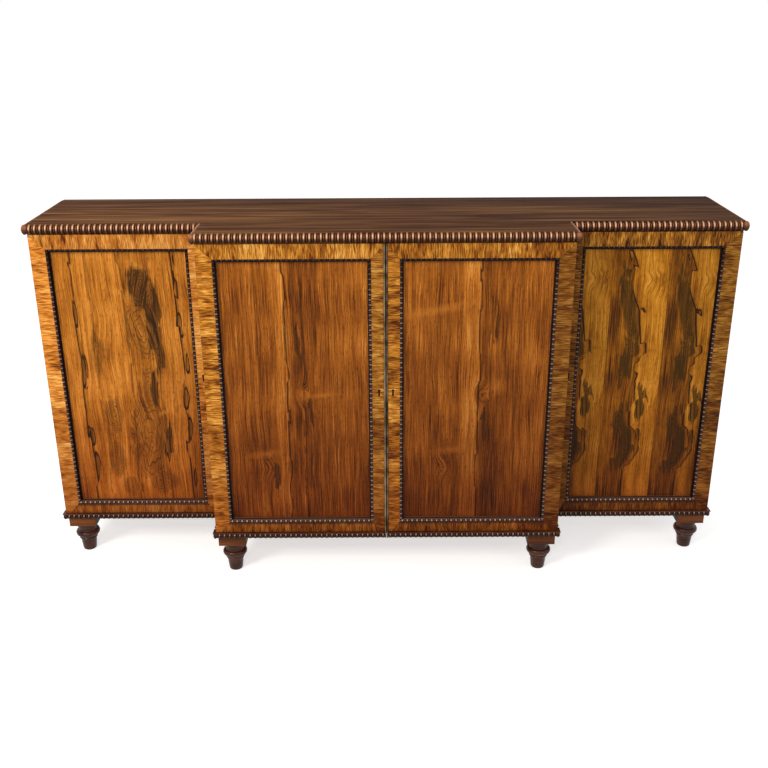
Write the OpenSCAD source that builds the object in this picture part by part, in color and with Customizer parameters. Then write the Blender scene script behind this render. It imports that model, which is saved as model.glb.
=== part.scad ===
/* [Body] */
// Width of the body over the outer edges of the wing doors
body_w = 1736; // [1600:1:1900]
// Width of the projecting centre, over its doors
centre_w = 890; // [780:1:960]
// How far the centre stands in front of the wings
breakfront = 107; // [80:1:140]
// Depth of a wing, from its door's face to the back
wing_depth = 309; // [270:1:360]
// Height from the floor to the top surface
height = 920; // [840:1:980]
// Height of the carcase's underside above the floor
leg_h = 111; // [100:1:130]
// Thickness of the top board
top_t = 25; // [20:0.5:30]
// Thickness of the end panels and partitions
wall_t = 20; // [16:0.5:24]
// Thickness of the bottom boards
bottom_t = 18; // [14:0.5:22]
// Thickness of the back panels
back_t = 10; // [6:0.5:14]

/* [Doors] */
// Thickness of a door
door_t = 22; // [20:0.5:26]
// Gap between the doors' backs and the carcase
door_gap = 1; // [0.6:0.1:1.6]
// Gap above and below a door, and between its edge and its neighbour
edge_gap = 1; // [0.6:0.1:2]
// Width of the stile on the hinge side
hinge_stile = 38; // [34:0.5:50]
// Width of a centre door's stile on the lock side
centre_lock_stile = 33.5; // [31:0.5:44]
// Width of a wing door's stile on the lock side
wing_lock_stile = 27; // [26.5:0.5:38]
// Height of the top rail
top_rail = 36; // [30:0.5:50]
// Height of the bottom rail, with the part behind the base bead
bottom_rail = 47; // [38:0.5:60]
// Depth of the sunk panel behind the frame's face
panel_sink = 11; // [9:0.5:12]
// Thickness of the panel
panel_t = 8; // [5:0.5:8]
// Depth of the groove that holds the panel
groove_d = 6; // [4:0.5:7]
// Width of the beading round the panel
beading_w = 9; // [7:0.5:12]
// Radius of the beading's half-round
beading_r = 3; // [2:0.25:3.5]

/* [Bead and reel] */
// Radius of the half-round along the base
base_bead_r = 8; // [6:0.25:10]
// Height of the flat fillet above the base half-round
fillet_h = 2.5; // [1.5:0.25:4]
// How far the fillet stands behind the half-round, and sinks into it
fillet_in = 0.5; // [0.25:0.25:1.5]
// Length of one bead with its reel
bead_pitch = 13.2; // [11:0.1:16]

/* [Feet] */
// Side of the square block above a foot
block_w = 72; // [66:1:84]
// Height of the block
block_h = 25; // [20:1:34]
// How far a block stands in from the body's faces
block_inset = 4; // [2:0.5:10]
// Radius of the foot's ring at its widest
ring_r = 32; // [28:0.5:33]
// Half of the ring's height
half_ring = 9; // [7:0.5:10]
// Height of the ring's middle above the floor
ring_z = 53; // [48:0.5:56]
// Radius at the top of the tapered stem
stem_top_r = 21.5; // [18:0.5:24]
// Radius at the bottom of the tapered stem
stem_foot_r = 18; // [14:0.5:20]
// How far the sole stands in from the stem, with its edge rounded over
sole_in = 3; // [1:0.5:5]
// Height of that rounded edge
sole_h = 3.5; // [2:0.5:5]
// How far the collar above the stem stands out
collar_out = 3; // [1.5:0.5:4]
// Height of the collar
collar_h = 4; // [2:0.5:5]
// How far the neck above the ring stands in from it
neck_in = 6; // [4:0.5:8]
// How far the disc under the block stands out from the neck
disc_out = 3; // [2:0.5:4]
// Height of the disc
disc_h = 4; // [3:0.5:5]
// Height of the hollow between the ring and the neck
cove = 5; // [3:0.5:6]
// Radius of the dowel that holds a foot in its block
dowel_r = 12; // [9:0.5:14]
// Length of the dowel
dowel_h = 20; // [12:1:24]

/* [Shelves] */
// Thickness of a shelf
shelf_t = 16; // [12:0.5:20]
// Height of the shelves' undersides above the bottom boards
shelf_rise = 370; // [280:5:460]
// How far a shelf stands behind the carcase's front
shelf_setback = 20; // [10:1:40]
// Height of a shelf bearer
bearer_h = 20; // [14:1:30]
// Thickness of a shelf bearer
bearer_t = 14; // [10:1:20]

/* [Metalwork] */
// Length of a hinge
hinge_h = 60; // [48:1:76]
// Distance from a door's end to its hinge
hinge_end = 110; // [80:5:160]
// Radius of a hinge knuckle
knuckle_r = 3; // [2.8:0.1:3.6]
// Distance of the hinge axis outside the body's side
axis_out = 1.5; // [1.2:0.1:2]
// Radius of a hinge pin
pin_r = 1.5; // [1:0.1:1.8]
// Thickness of a hinge leaf
leaf_t = 1.5; // [1.2:0.1:2]
// Width of a hinge leaf
leaf_w = 17; // [12:0.5:19]
// Width of the brass edge on each centre door
brass_w = 5; // [4:0.5:7]
// Depth of the brass edge behind the door's face
brass_d = 4; // [3:0.5:6]
// How far the brass edge stands proud of the door's face
brass_proud = 2; // [1:0.25:2.5]
// Height of the keyholes' middle above the floor
keyhole_z = 520; // [480:5:560]
// Distance of a centre door's keyhole from the middle of the cabinet
centre_keyhole_in = 17; // [15:0.5:19]
// Distance of a wing door's keyhole from the door's edge
wing_keyhole_in = 12.5; // [11:0.5:13]
// Height of a keyhole's brass lining
lining_h = 18; // [14:0.5:22]
// Width of a keyhole's brass lining
lining_w = 7; // [6:0.5:8]
// How far a lock case reaches past its keyhole's middle
lock_back = 7; // [6:0.5:7]
// Height of a lock case
lock_h = 60; // [50:1:80]
// Depth of a lock case
lock_d = 11; // [9.5:0.5:12]
// Height of a lock bolt
bolt_h = 12; // [8:0.5:16]
// Thickness of a lock bolt
bolt_t = 5; // [4:0.5:6]
// Travel of a lock bolt
bolt_throw = 7; // [5:0.5:7.5]
// Height of the strike plate that receives a wing's bolt
plate_h = 40; // [30:1:50]
// Thickness of the strike plate
plate_t = 1.2; // [0.8:0.1:1.6]
// Radius of the flush bolt's rod
rod_r = 3; // [2.5:0.25:3.5]
// Travel of the flush bolt
rod_throw = 9; // [6:0.5:12]
// Length of the flush bolt's rod
rod_len = 82; // [74:1:88]
// Distance of the flush bolt from its door's edge
rod_in = 15; // [14:0.5:17]
// Width of the flush bolt's case
rod_case_w = 15; // [12:0.5:16]
// Depth of the flush bolt's case
rod_case_d = 9; // [8:0.5:10]
// Height of the flush bolt's case
rod_case_h = 100; // [96:1:120]

/* [Hidden] */

$fn = 48;

// Clearance between moving metal, round a let-in fitting, of a pin in its bore and of a glued joint
move_gap = 0.3;
let_in = 0.1;
running = 0.05;
glue_line = 0.05;
// Clearance of what swings past a fixed piece, of a shelf at its ends and of a panel in its grooves
swing_gap = 1;
shelf_play = 1;
panel_play = 0.4;
// Overlap that keeps two faces from lying on each other
eps = 0.01;

// Colours as the photograph shows them
wood_top = "#6e4a30";
wood_frame = "#b8702e";
wood_panel = "#9c5c28";
wood_bead = "#3a1f12";
wood_inside = "#b08a5a";
brass = "#8c7a52";

// Places worked out from the driving dimensions, with the origin under the middle
half_w = body_w / 2;
half_c = centre_w / 2;
top_bead_r = top_t / 2;
// A run of beads begins this part of its radius past the corner, inside the round bead there
corner_in = 0.7;
back_y = (wing_depth + breakfront + top_bead_r) / 2;
wing_y = back_y - wing_depth;
centre_y = wing_y - breakfront;
wing_front = wing_y + door_t + door_gap;
centre_front = centre_y + door_t + door_gap;
top_z = height - top_t;
floor_z = leg_h + bottom_t;
inner_back = back_y - back_t;
door_z = leg_h + edge_gap;
door_h = top_z - edge_gap - door_z;
shelf_z = floor_z + shelf_rise;
strip_w = base_bead_r + edge_gap;
wing_door_w = half_w - half_c - strip_w - edge_gap;
centre_door_w = half_c - edge_gap / 2;
foot_in = block_inset + block_w / 2;
opening_h = door_h - top_rail - bottom_rail;

// Hinge axis in a door's own frame, whose corner is the hinge edge of its face
axis_y = door_t + door_gap / 2;
hinge_zs = [hinge_end, door_h - hinge_end - hinge_h];
knuckle_h = hinge_h / 3;
pin_head_h = 1.5;
// The door's base bead turns its corner this far, and clears the fixed return as it swings
return_gap = base_bead_r - axis_out + swing_gap;
wrap_len = axis_y - return_gap;

// Lock in a door's own frame: its bolt rests a little behind the edge, with play and a wall behind it
bolt_y = door_t - lock_d / 2;
bolt_rest = 0.5;
bolt_play = 2.5;
lock_wall = 4;

// Brass lining of a keyhole, let into the door's face
lining_wall = 1;
lining_d = 2.5;

// Flush bolt in the left centre door's own frame
rod_x = centre_door_w - rod_in;
rod_y = door_t - rod_case_d / 2;
rod_end_wall = 6;
knob_neck_r = 1.5;
knob_r = 4;
knob_h = 3;
knob_out = 2;
knob_z = rod_len / 2;

// One door's place, and the widths of its own parts
function door_x(wing) = wing ? -half_w : -half_c;
function door_y(wing) = wing ? wing_y : centre_y;
function door_w(wing) = wing ? wing_door_w : centre_door_w;
function lock_stile(wing) = wing ? wing_lock_stile : centre_lock_stile;
function keyhole_in(wing) = wing ? wing_keyhole_in : centre_keyhole_in - edge_gap / 2;
function lock_w(wing) = keyhole_in(wing) + lock_back;
function bolt_len(wing) = lock_w(wing) - lock_wall - bolt_play - bolt_rest;

module place_door(wing, right) {
    mirror([right ? 1 : 0, 0, 0])
        translate([door_x(wing), door_y(wing), door_z])
            children();
}

// Mouldings

// Radius along a bead-and-reel of radius r, as points from x to x + pitch
function bead_points(x, pitch, r) = concat(
    [for (i = [0:4]) [r * (0.78 + 0.22 * sin(45 * i)), x + pitch * (0.05 + 0.155 * i)]],
    [
        [r * 0.68, x + pitch * 0.73],
        [r * 0.86, x + pitch * 0.78],
        [r * 0.86, x + pitch * 0.92],
        [r * 0.68, x + pitch * 0.98]
    ]
);

// Turned bead-and-reel along +X from start to end, on the X axis
module bead_and_reel(start, end, r) {
    count = max(1, round((end - start) / bead_pitch));
    pitch = (end - start) / count;
    rotate([0, 90, 0])
        rotate_extrude()
            polygon(concat(
                [[0, start], [r * 0.68, start]],
                [for (k = [0:count - 1]) each bead_points(start + k * pitch, pitch, r)],
                [[r * 0.68, end], [0, end]]
            ));
}

// Half-round bead-and-reel on a wall along +X, its middle at height zero. An end is square (0), mitred
// inwards (-1), or runs into the bead on an outer corner (1)
module bead_run(length, r, start, end) {
    reach = 1.5 * r;
    intersection() {
        bead_and_reel(max(start, 0) * corner_in * r, length - max(end, 0) * corner_in * r, r);
        translate([0, 0, -reach])
            linear_extrude(2 * reach)
                polygon([
                    [start < 0 ? 0 : -reach, 0],
                    [length + (end < 0 ? 0 : reach), 0],
                    [length + (end < 0 ? -reach : reach), -reach],
                    [start < 0 ? reach : -reach, -reach]
                ]);
    }
}

// Round bead on an outer corner of two walls, with the corner at its middle
module corner_bead(r) {
    difference() {
        rotate([90, 0, -45])
            sphere(r = r);
        translate([0, 0, -2 * r])
            cube(4 * r);
    }
}

// Half-round with the fillet above it, its underside at height zero
module base_run(length, start, end) {
    fillet_out = base_bead_r - fillet_in;
    translate([0, 0, base_bead_r])
        bead_run(length, base_bead_r, start, end);
    translate([-start * fillet_out, -fillet_out, 2 * base_bead_r - fillet_in])
        cube([length + (start + end) * fillet_out, fillet_out, fillet_h + fillet_in]);
}

// Carcase

module breakfront_outline() {
    polygon([
        [-half_w, wing_y], [-half_c, wing_y], [-half_c, centre_y], [half_c, centre_y],
        [half_c, wing_y], [half_w, wing_y], [half_w, back_y], [-half_w, back_y]
    ]);
}

module top_board() {
    color(wood_top)
        difference() {
            translate([0, 0, top_z])
                linear_extrude(top_t)
                    breakfront_outline();
            translate([door_x(false) + rod_x, centre_y + rod_y, top_z - eps])
                cylinder(r = rod_r + move_gap, h = rod_throw + edge_gap + eps);
        }
}

module top_bead_side(right) {
    color(wood_bead)
        mirror([right ? 1 : 0, 0, 0]) {
            translate([-half_w, wing_y, top_z + top_bead_r]) {
                bead_run(half_w - half_c, top_bead_r, 1, -1);
                corner_bead(top_bead_r);
            }
            translate([-half_w, back_y, top_z + top_bead_r])
                rotate([0, 0, -90])
                    bead_run(wing_depth, top_bead_r, 0, 1);
        }
}

module top_bead_left() { top_bead_side(false); }
module top_bead_right() { top_bead_side(true); }

module top_bead_centre() {
    color(wood_bead) {
        translate([-half_c, centre_y, top_z + top_bead_r])
            bead_run(centre_w, top_bead_r, 1, 1);
        for (right = [0, 1])
            mirror([right, 0, 0]) {
                translate([-half_c, centre_y, top_z + top_bead_r])
                    corner_bead(top_bead_r);
                translate([-half_c, wing_y, top_z + top_bead_r])
                    rotate([0, 0, -90])
                        bead_run(breakfront, top_bead_r, -1, 1);
            }
    }
}

// Recess for a hinge leaf and the knuckles, in a door's own frame: side is -1 in the door and 1 in the carcase
module leaf_recess(side) {
    deep = leaf_t + 2 * let_in;
    for (z = hinge_zs) {
        translate([-eps, axis_y - (side < 0 ? deep : 0), z - let_in])
            cube([leaf_w - axis_out + let_in + eps, deep, hinge_h + 2 * let_in]);
        knuckle_space(z);
    }
}

// Hollow round the knuckles and the pin's heads
module knuckle_space(z) {
    beyond = pin_head_h + 2 * move_gap;
    translate([-axis_out, axis_y, z - beyond])
        cylinder(r = knuckle_r + move_gap, h = hinge_h + 2 * beyond);
}

module end_panel(right) {
    color(wood_frame)
        difference() {
            mirror([right ? 1 : 0, 0, 0])
                translate([-half_w, wing_front, leg_h])
                    cube([wall_t, back_y - wing_front, top_z - leg_h]);
            place_door(true, right)
                leaf_recess(1);
        }
}

module left_end_panel() { end_panel(false); }
module right_end_panel() { end_panel(true); }

module partition(right) {
    color(wood_frame)
        difference() {
            mirror([right ? 1 : 0, 0, 0])
                translate([-half_c, centre_front, leg_h])
                    cube([wall_t, back_y - centre_front, top_z - leg_h]);
            place_door(false, right)
                leaf_recess(1);
        }
}

module left_partition() { partition(false); }
module right_partition() { partition(true); }

// Space for a thrown lock bolt beyond a door's free edge, in the door's own frame
module bolt_mortise(wing) {
    translate([
        door_w(wing) - eps,
        bolt_y - bolt_t / 2 - move_gap,
        keyhole_z - door_z - bolt_h / 2 - move_gap
    ])
        cube([bolt_throw + 2 * edge_gap, bolt_t + 2 * move_gap, bolt_h + 2 * move_gap]);
}

// Brass plate round the mouth of a bolt's mortise, let in flush
module strike_plate(grow) {
    rim = 2;
    plate_w = bolt_t + 2 * rim;
    translate([
        wing_door_w + edge_gap,
        bolt_y - plate_w / 2 - grow,
        keyhole_z - door_z - plate_h / 2 - grow
    ])
        cube([plate_t + grow, plate_w + 2 * grow, plate_h + 2 * grow]);
}

module closing_strip(right) {
    color(wood_frame)
        difference() {
            mirror([right ? 1 : 0, 0, 0])
                translate([-half_c - strip_w, wing_y, leg_h])
                    cube([strip_w, door_t + door_gap, top_z - leg_h]);
            place_door(true, right) {
                bolt_mortise(true);
                strike_plate(let_in);
            }
        }
}

module left_closing_strip() { closing_strip(false); }
module right_closing_strip() { closing_strip(true); }

module strike_plates() {
    color(brass)
        for (right = [false, true])
            place_door(true, right)
                difference() {
                    strike_plate(0);
                    bolt_mortise(true);
                }
}

module wing_board(right, front, z, thick, narrower) {
    mirror([right ? 1 : 0, 0, 0])
        translate([-half_w + wall_t + narrower, front, z])
            cube([half_w - half_c - wall_t - 2 * narrower, inner_back - front, thick]);
}

module centre_board(front, z, thick, narrower) {
    width = centre_w - 2 * (wall_t + narrower);
    translate([-width / 2, front, z])
        cube([width, inner_back - front, thick]);
}

module left_bottom() { color(wood_inside) wing_board(false, wing_front, leg_h, bottom_t, 0); }
module right_bottom() { color(wood_inside) wing_board(true, wing_front, leg_h, bottom_t, 0); }
module centre_bottom() { color(wood_inside) centre_board(centre_front, leg_h, bottom_t, 0); }

module back_panels() {
    color(wood_inside) {
        for (right = [0, 1])
            mirror([right, 0, 0])
                translate([-half_w + wall_t, inner_back, leg_h])
                    cube([half_w - half_c - wall_t, back_t, top_z - leg_h]);
        translate([-half_c + wall_t, inner_back, leg_h])
            cube([centre_w - 2 * wall_t, back_t, top_z - leg_h]);
    }
}

module left_shelf() {
    color(wood_inside) wing_board(false, wing_front + shelf_setback, shelf_z, shelf_t, shelf_play);
}

module right_shelf() {
    color(wood_inside) wing_board(true, wing_front + shelf_setback, shelf_z, shelf_t, shelf_play);
}

module centre_shelf() {
    color(wood_inside) centre_board(centre_front + shelf_setback, shelf_z, shelf_t, shelf_play);
}

// Bearers against both sides of each cupboard, under its shelf
module shelf_bearers() {
    wing_len = inner_back - wing_front - shelf_setback;
    centre_len = inner_back - centre_front - shelf_setback;
    color(wood_inside)
        for (right = [0, 1])
            mirror([right, 0, 0])
                translate([0, 0, shelf_z - bearer_h]) {
                    translate([-half_w + wall_t, wing_front + shelf_setback, 0])
                        cube([bearer_t, wing_len, bearer_h]);
                    translate([-half_c - bearer_t, wing_front + shelf_setback, 0])
                        cube([bearer_t, wing_len, bearer_h]);
                    translate([-half_c + wall_t, centre_front + shelf_setback, 0])
                        cube([bearer_t, centre_len, bearer_h]);
                }
}

// Feet

// Middles of the feet on the right half of the cabinet
front_spots = [[half_w - foot_in, wing_y + foot_in], [half_c - foot_in, centre_y + foot_in]];
back_spots = [[half_w - foot_in, back_y - foot_in], [half_c - foot_in, back_y - foot_in]];

module at_spots(spots) {
    for (side = [-1, 1], spot = spots)
        translate([side * spot[0], spot[1], 0])
            children();
}

module foot_blocks() {
    color(wood_frame)
        at_spots(concat(front_spots, back_spots))
            difference() {
                translate([-block_w / 2, -block_w / 2, leg_h - block_h])
                    cube([block_w, block_w, block_h]);
                translate([0, 0, leg_h - block_h - eps])
                    cylinder(r = dowel_r + running, h = dowel_h + running + eps);
            }
}

// Turned foot: tapered stem, collar, ring, neck and top disc, with its dowel
module foot() {
    top = leg_h - block_h;
    sole_r = stem_foot_r - sole_in;
    ring_core = ring_r - half_ring;
    collar_z = ring_z - half_ring - 2 * collar_h;
    neck_r = ring_r - neck_in;
    disc_r = neck_r + disc_out;
    rotate_extrude()
        union() {
            polygon([
                [0, 0], [sole_r, 0], [(sole_r + stem_foot_r) / 2, sole_h / 4], [stem_foot_r, sole_h],
                [stem_top_r, collar_z],
                [stem_top_r + collar_out, collar_z],
                [stem_top_r + collar_out, collar_z + collar_h],
                [ring_core, ring_z - half_ring],
                [ring_core, ring_z + half_ring],
                [neck_r, ring_z + half_ring + cove],
                [neck_r, top - disc_h - cove / 2],
                [disc_r, top - disc_h],
                [disc_r, top],
                [dowel_r, top], [dowel_r, top + dowel_h], [0, top + dowel_h]
            ]);
            translate([ring_core, ring_z])
                circle(r = half_ring);
        }
}

module front_feet() { color(wood_bead) at_spots(front_spots) foot(); }
module back_feet() { color(wood_bead) at_spots(back_spots) foot(); }

// Base bead along the ends and the breakfront's sides, fixed to the carcase behind the doors
module base_bead_returns() {
    start_y = door_t + door_gap + edge_gap;
    color(wood_bead)
        for (right = [0, 1])
            mirror([right, 0, 0]) {
                translate([-half_w, back_y, door_z])
                    rotate([0, 0, -90])
                        base_run(wing_depth - start_y, 0, 0);
                translate([-half_c, wing_y, door_z])
                    rotate([0, 0, -90])
                        base_run(breakfront - start_y, 0, 0);
            }
}

// Hinges

// Leaf lying in the gap, in a door's own frame: side is -1 on the door and 1 on the carcase
module leaf(z, side) {
    translate([-axis_out, axis_y + (side < 0 ? -leaf_t - let_in : let_in), z])
        cube([leaf_w, leaf_t, hinge_h]);
}

// Knuckle between two heights above the hinge's foot, as a solid rod
module knuckle(z, low, high, r) {
    translate([-axis_out, axis_y, z + low])
        cylinder(r = r, h = high - low);
}

module fixed_leaf(z) {
    difference() {
        union() {
            leaf(z, 1);
            knuckle(z, knuckle_h, 2 * knuckle_h, knuckle_r);
        }
        knuckle(z, -eps, knuckle_h, knuckle_r + move_gap);
        knuckle(z, 2 * knuckle_h, hinge_h + eps, knuckle_r + move_gap);
        knuckle(z, -eps, hinge_h + eps, pin_r + running);
    }
}

module moving_leaf(z) {
    difference() {
        union() {
            leaf(z, -1);
            knuckle(z, 0, knuckle_h - move_gap, knuckle_r);
            knuckle(z, 2 * knuckle_h + move_gap, hinge_h, knuckle_r);
        }
        knuckle(z, knuckle_h - move_gap, 2 * knuckle_h + move_gap, knuckle_r + move_gap);
        knuckle(z, -eps, hinge_h + eps, pin_r + running);
    }
}

module pin(z) {
    knuckle(z, -move_gap, hinge_h + move_gap, pin_r);
    knuckle(z, -move_gap - pin_head_h, -move_gap, knuckle_r);
    knuckle(z, hinge_h + move_gap, hinge_h + move_gap + pin_head_h, knuckle_r);
}

module at_all_doors() {
    for (wing = [true, false], right = [false, true])
        place_door(wing, right)
            children();
}

module fixed_hinge_leaves() {
    color(brass) at_all_doors() for (z = hinge_zs) fixed_leaf(z);
}

module hinge_pins() {
    color(brass) at_all_doors() for (z = hinge_zs) pin(z);
}

module hinge_leaves(wing, right) {
    color(brass) place_door(wing, right) for (z = hinge_zs) moving_leaf(z);
}

// Doors, in the left-hand door's own frame: x from the hinge edge, y back from the face

// Keyhole outline about its middle: a round eye over a narrower slot
module keyhole_shape(w, h) {
    slot_w = 0.6 * w;
    translate([0, h / 2 - w / 2])
        circle(d = w);
    translate([-slot_w / 2, -h / 2])
        square([slot_w, h - w / 2]);
}

module keyhole_prism(w, h, deep) {
    rotate([90, 0, 0])
        translate([0, 0, -deep])
            linear_extrude(deep)
                keyhole_shape(w, h);
}

module at_keyhole(wing) {
    translate([door_w(wing) - keyhole_in(wing), 0, keyhole_z - door_z])
        children();
}

// Box of a lock case, or of its recess when it grows
module lock_space(wing, grow) {
    translate([
        door_w(wing) - lock_w(wing) - grow,
        door_t - lock_d - grow,
        keyhole_z - door_z - lock_h / 2 - grow
    ])
        cube([lock_w(wing) + 2 * grow, lock_d + 2 * grow, lock_h + 2 * grow]);
}

// Box of the flush bolt's case, or of its recess when it grows
module rod_case_space(grow) {
    translate([rod_x - rod_case_w / 2 - grow, door_t - rod_case_d - grow, door_h - rod_case_h - grow])
        cube([rod_case_w + 2 * grow, rod_case_d + 2 * grow, rod_case_h + 2 * grow]);
}

// Width of the opening in a door's frame
function opening_w(wing) = door_w(wing) - hinge_stile - lock_stile(wing);

// Two stiles running through and two rails between them
module frame_members(wing) {
    rail_w = opening_w(wing) - 2 * glue_line;
    cube([hinge_stile, door_t, door_h]);
    translate([hinge_stile + opening_w(wing), 0, 0])
        cube([lock_stile(wing), door_t, door_h]);
    translate([hinge_stile + glue_line, 0, door_h - top_rail])
        cube([rail_w, door_t, top_rail]);
    translate([hinge_stile + glue_line, 0, 0])
        cube([rail_w, door_t, bottom_rail]);
}

// The panel with its tongues; play makes it smaller than its groove
module panel_space(wing, play) {
    translate([hinge_stile - groove_d + play, panel_sink + play / 4, bottom_rail - groove_d + play])
        cube([
            opening_w(wing) + 2 * (groove_d - play),
            panel_t - play / 2,
            opening_h + 2 * (groove_d - play)
        ]);
}

// Radius of the brass edge's rounded face, from its width and how proud it stands
brass_arc_r = (brass_w * brass_w / 4 + brass_proud * brass_proud) / (2 * brass_proud);

// Section of the brass edge, x from 0 to brass_w and y from the face back
module brass_section() {
    translate([0, -eps]) square([brass_w, brass_d + eps]);
    intersection() {
        translate([brass_w / 2, brass_arc_r - brass_proud]) circle(r = brass_arc_r);
        translate([0, -brass_proud]) square([brass_w, brass_proud]);
    }
}

module door_frame(wing, right) {
    width = door_w(wing);
    color(wood_frame)
        place_door(wing, right)
            difference() {
                frame_members(wing);
                panel_space(wing, 0);
                leaf_recess(-1);
                at_keyhole(wing)
                    translate([0, -eps, 0]) {
                        keyhole_prism(lining_w + 2 * running, lining_h + 2 * running, lining_d + running);
                        keyhole_prism(lining_w - 2 * lining_wall, lining_h - 2 * lining_wall, door_t / 2);
                    }
                if (wing || right)
                    lock_space(wing, let_in);
                if (!wing && !right) {
                    rod_case_space(let_in);
                    translate([2 * width + edge_gap, 0, 0])
                        mirror([1, 0, 0])
                            bolt_mortise(false);
                }
                if (!wing)
                    translate([width - brass_w - let_in, -eps, -eps])
                        cube([brass_w + let_in + eps, brass_d + let_in, door_h + 2 * eps]);
            }
}

module door_panel(wing, right) {
    color(wood_panel) place_door(wing, right) panel_space(wing, panel_play);
}

// Beading planted in the opening against the frame, with a half-round on its outer part
module door_beading(wing, right) {
    w = opening_w(wing);
    h = opening_h;
    round_w = 2 * beading_r;
    base_d = panel_sink - panel_play / 4;
    color(wood_bead)
        place_door(wing, right)
            translate([hinge_stile, 0, bottom_rail]) {
                difference() {
                    cube([w, base_d, h]);
                    translate([round_w, -eps, round_w])
                        cube([w - 2 * round_w, panel_sink, h - 2 * round_w]);
                }
                difference() {
                    translate([round_w - eps, base_d - beading_r, round_w - eps])
                        cube([w - 2 * round_w + 2 * eps, beading_r, h - 2 * round_w + 2 * eps]);
                    translate([beading_w, 0, beading_w])
                        cube([w - 2 * beading_w, panel_sink, h - 2 * beading_w]);
                }
                beading_round(w, h);
            }
}

module beading_round(w, h) {
    for (turn = [0, 1, 2, 3]) {
        length = turn % 2 == 0 ? w : h;
        corner = [[0, 0], [w, 0], [w, h], [0, h]][turn];
        translate([corner[0], 0, corner[1]])
            rotate([0, -90 * turn, 0])
                intersection() {
                    translate([0, 0, beading_r])
                        rotate([0, 90, 0])
                            cylinder(r = beading_r, h = length);
                    translate([0, eps, 0])
                        rotate([90, 0, 0])
                            linear_extrude(beading_r + eps)
                                polygon([
                                    [0, 0], [length, 0],
                                    [length - 2 * beading_r, 2 * beading_r],
                                    [2 * beading_r, 2 * beading_r]
                                ]);
                }
    }
}

module door_base_bead(wing, right) {
    length = wing ? wing_door_w : centre_door_w - brass_w - let_in;
    color(wood_bead)
        place_door(wing, right) {
            base_run(length, 1, 0);
            translate([0, 0, base_bead_r])
                corner_bead(base_bead_r);
            translate([0, wrap_len, 0])
                rotate([0, 0, -90])
                    base_run(wrap_len, 0, 1);
        }
}

module keyhole_lining(wing, right) {
    color(brass)
        place_door(wing, right)
            at_keyhole(wing)
                difference() {
                    keyhole_prism(lining_w, lining_h, lining_d);
                    translate([0, -eps, 0])
                        keyhole_prism(lining_w - 2 * lining_wall, lining_h - 2 * lining_wall, lining_d + 2 * eps);
                }
}

module lock_case(wing, right) {
    hollow_w = lock_w(wing) - lock_wall;
    color(brass)
        place_door(wing, right)
            difference() {
                lock_space(wing, 0);
                translate([
                    door_w(wing) - hollow_w,
                    bolt_y - bolt_t / 2 - move_gap,
                    keyhole_z - door_z - bolt_h / 2 - move_gap
                ])
                    cube([hollow_w + eps, bolt_t + 2 * move_gap, bolt_h + 2 * move_gap]);
                at_keyhole(wing)
                    keyhole_prism(lining_w - 2 * lining_wall, lining_h - 2 * lining_wall, bolt_y);
            }
}

module lock_bolt(wing, right) {
    color(brass)
        place_door(wing, right)
            translate([
                door_w(wing) - bolt_len(wing) - bolt_rest,
                bolt_y - bolt_t / 2,
                keyhole_z - door_z - bolt_h / 2
            ])
                cube([bolt_len(wing), bolt_t, bolt_h]);
}

module brass_edge(right) {
    color(brass)
        place_door(false, right)
            translate([centre_door_w - brass_w, 0, 0])
                linear_extrude(door_h)
                    brass_section();
}

// Flush bolt in the back of the left centre door's lock stile, at its top
module left_centre_flush_bolt_case() {
    slot_half = knob_neck_r + move_gap;
    color(brass)
        place_door(false, false)
            difference() {
                rod_case_space(0);
                translate([rod_x, rod_y, door_h - rod_case_h + rod_end_wall])
                    cylinder(r = rod_r + running, h = rod_case_h);
                translate([rod_x - slot_half, rod_y, door_h - bolt_rest - rod_len + knob_z - slot_half])
                    cube([2 * slot_half, rod_case_d, rod_throw + 2 * slot_half]);
            }
}

module left_centre_flush_bolt() {
    reach = rod_case_d / 2 + knob_out;
    color(brass)
        place_door(false, false)
            translate([rod_x, rod_y, door_h - bolt_rest - rod_len]) {
                cylinder(r = rod_r, h = rod_len);
                translate([0, 0, knob_z])
                    rotate([-90, 0, 0]) {
                        cylinder(r = knob_neck_r, h = reach);
                        translate([0, 0, reach])
                            cylinder(r = knob_r, h = knob_h);
                    }
            }
}

module left_wing_frame() { door_frame(true, false); }
module right_wing_frame() { door_frame(true, true); }
module left_centre_frame() { door_frame(false, false); }
module right_centre_frame() { door_frame(false, true); }
module left_wing_panel() { door_panel(true, false); }
module right_wing_panel() { door_panel(true, true); }
module left_centre_panel() { door_panel(false, false); }
module right_centre_panel() { door_panel(false, true); }
module left_wing_beading() { door_beading(true, false); }
module right_wing_beading() { door_beading(true, true); }
module left_centre_beading() { door_beading(false, false); }
module right_centre_beading() { door_beading(false, true); }
module left_wing_base_bead() { door_base_bead(true, false); }
module right_wing_base_bead() { door_base_bead(true, true); }
module left_centre_base_bead() { door_base_bead(false, false); }
module right_centre_base_bead() { door_base_bead(false, true); }
module left_wing_hinge_leaves() { hinge_leaves(true, false); }
module right_wing_hinge_leaves() { hinge_leaves(true, true); }
module left_centre_hinge_leaves() { hinge_leaves(false, false); }
module right_centre_hinge_leaves() { hinge_leaves(false, true); }
module left_wing_keyhole() { keyhole_lining(true, false); }
module right_wing_keyhole() { keyhole_lining(true, true); }
module left_centre_keyhole() { keyhole_lining(false, false); }
module right_centre_keyhole() { keyhole_lining(false, true); }
module left_wing_lock() { lock_case(true, false); }
module right_wing_lock() { lock_case(true, true); }
module right_centre_lock() { lock_case(false, true); }
module left_wing_lock_bolt() { lock_bolt(true, false); }
module right_wing_lock_bolt() { lock_bolt(true, true); }
module right_centre_lock_bolt() { lock_bolt(false, true); }
module left_centre_brass_edge() { brass_edge(false); }
module right_centre_brass_edge() { brass_edge(true); }

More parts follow.
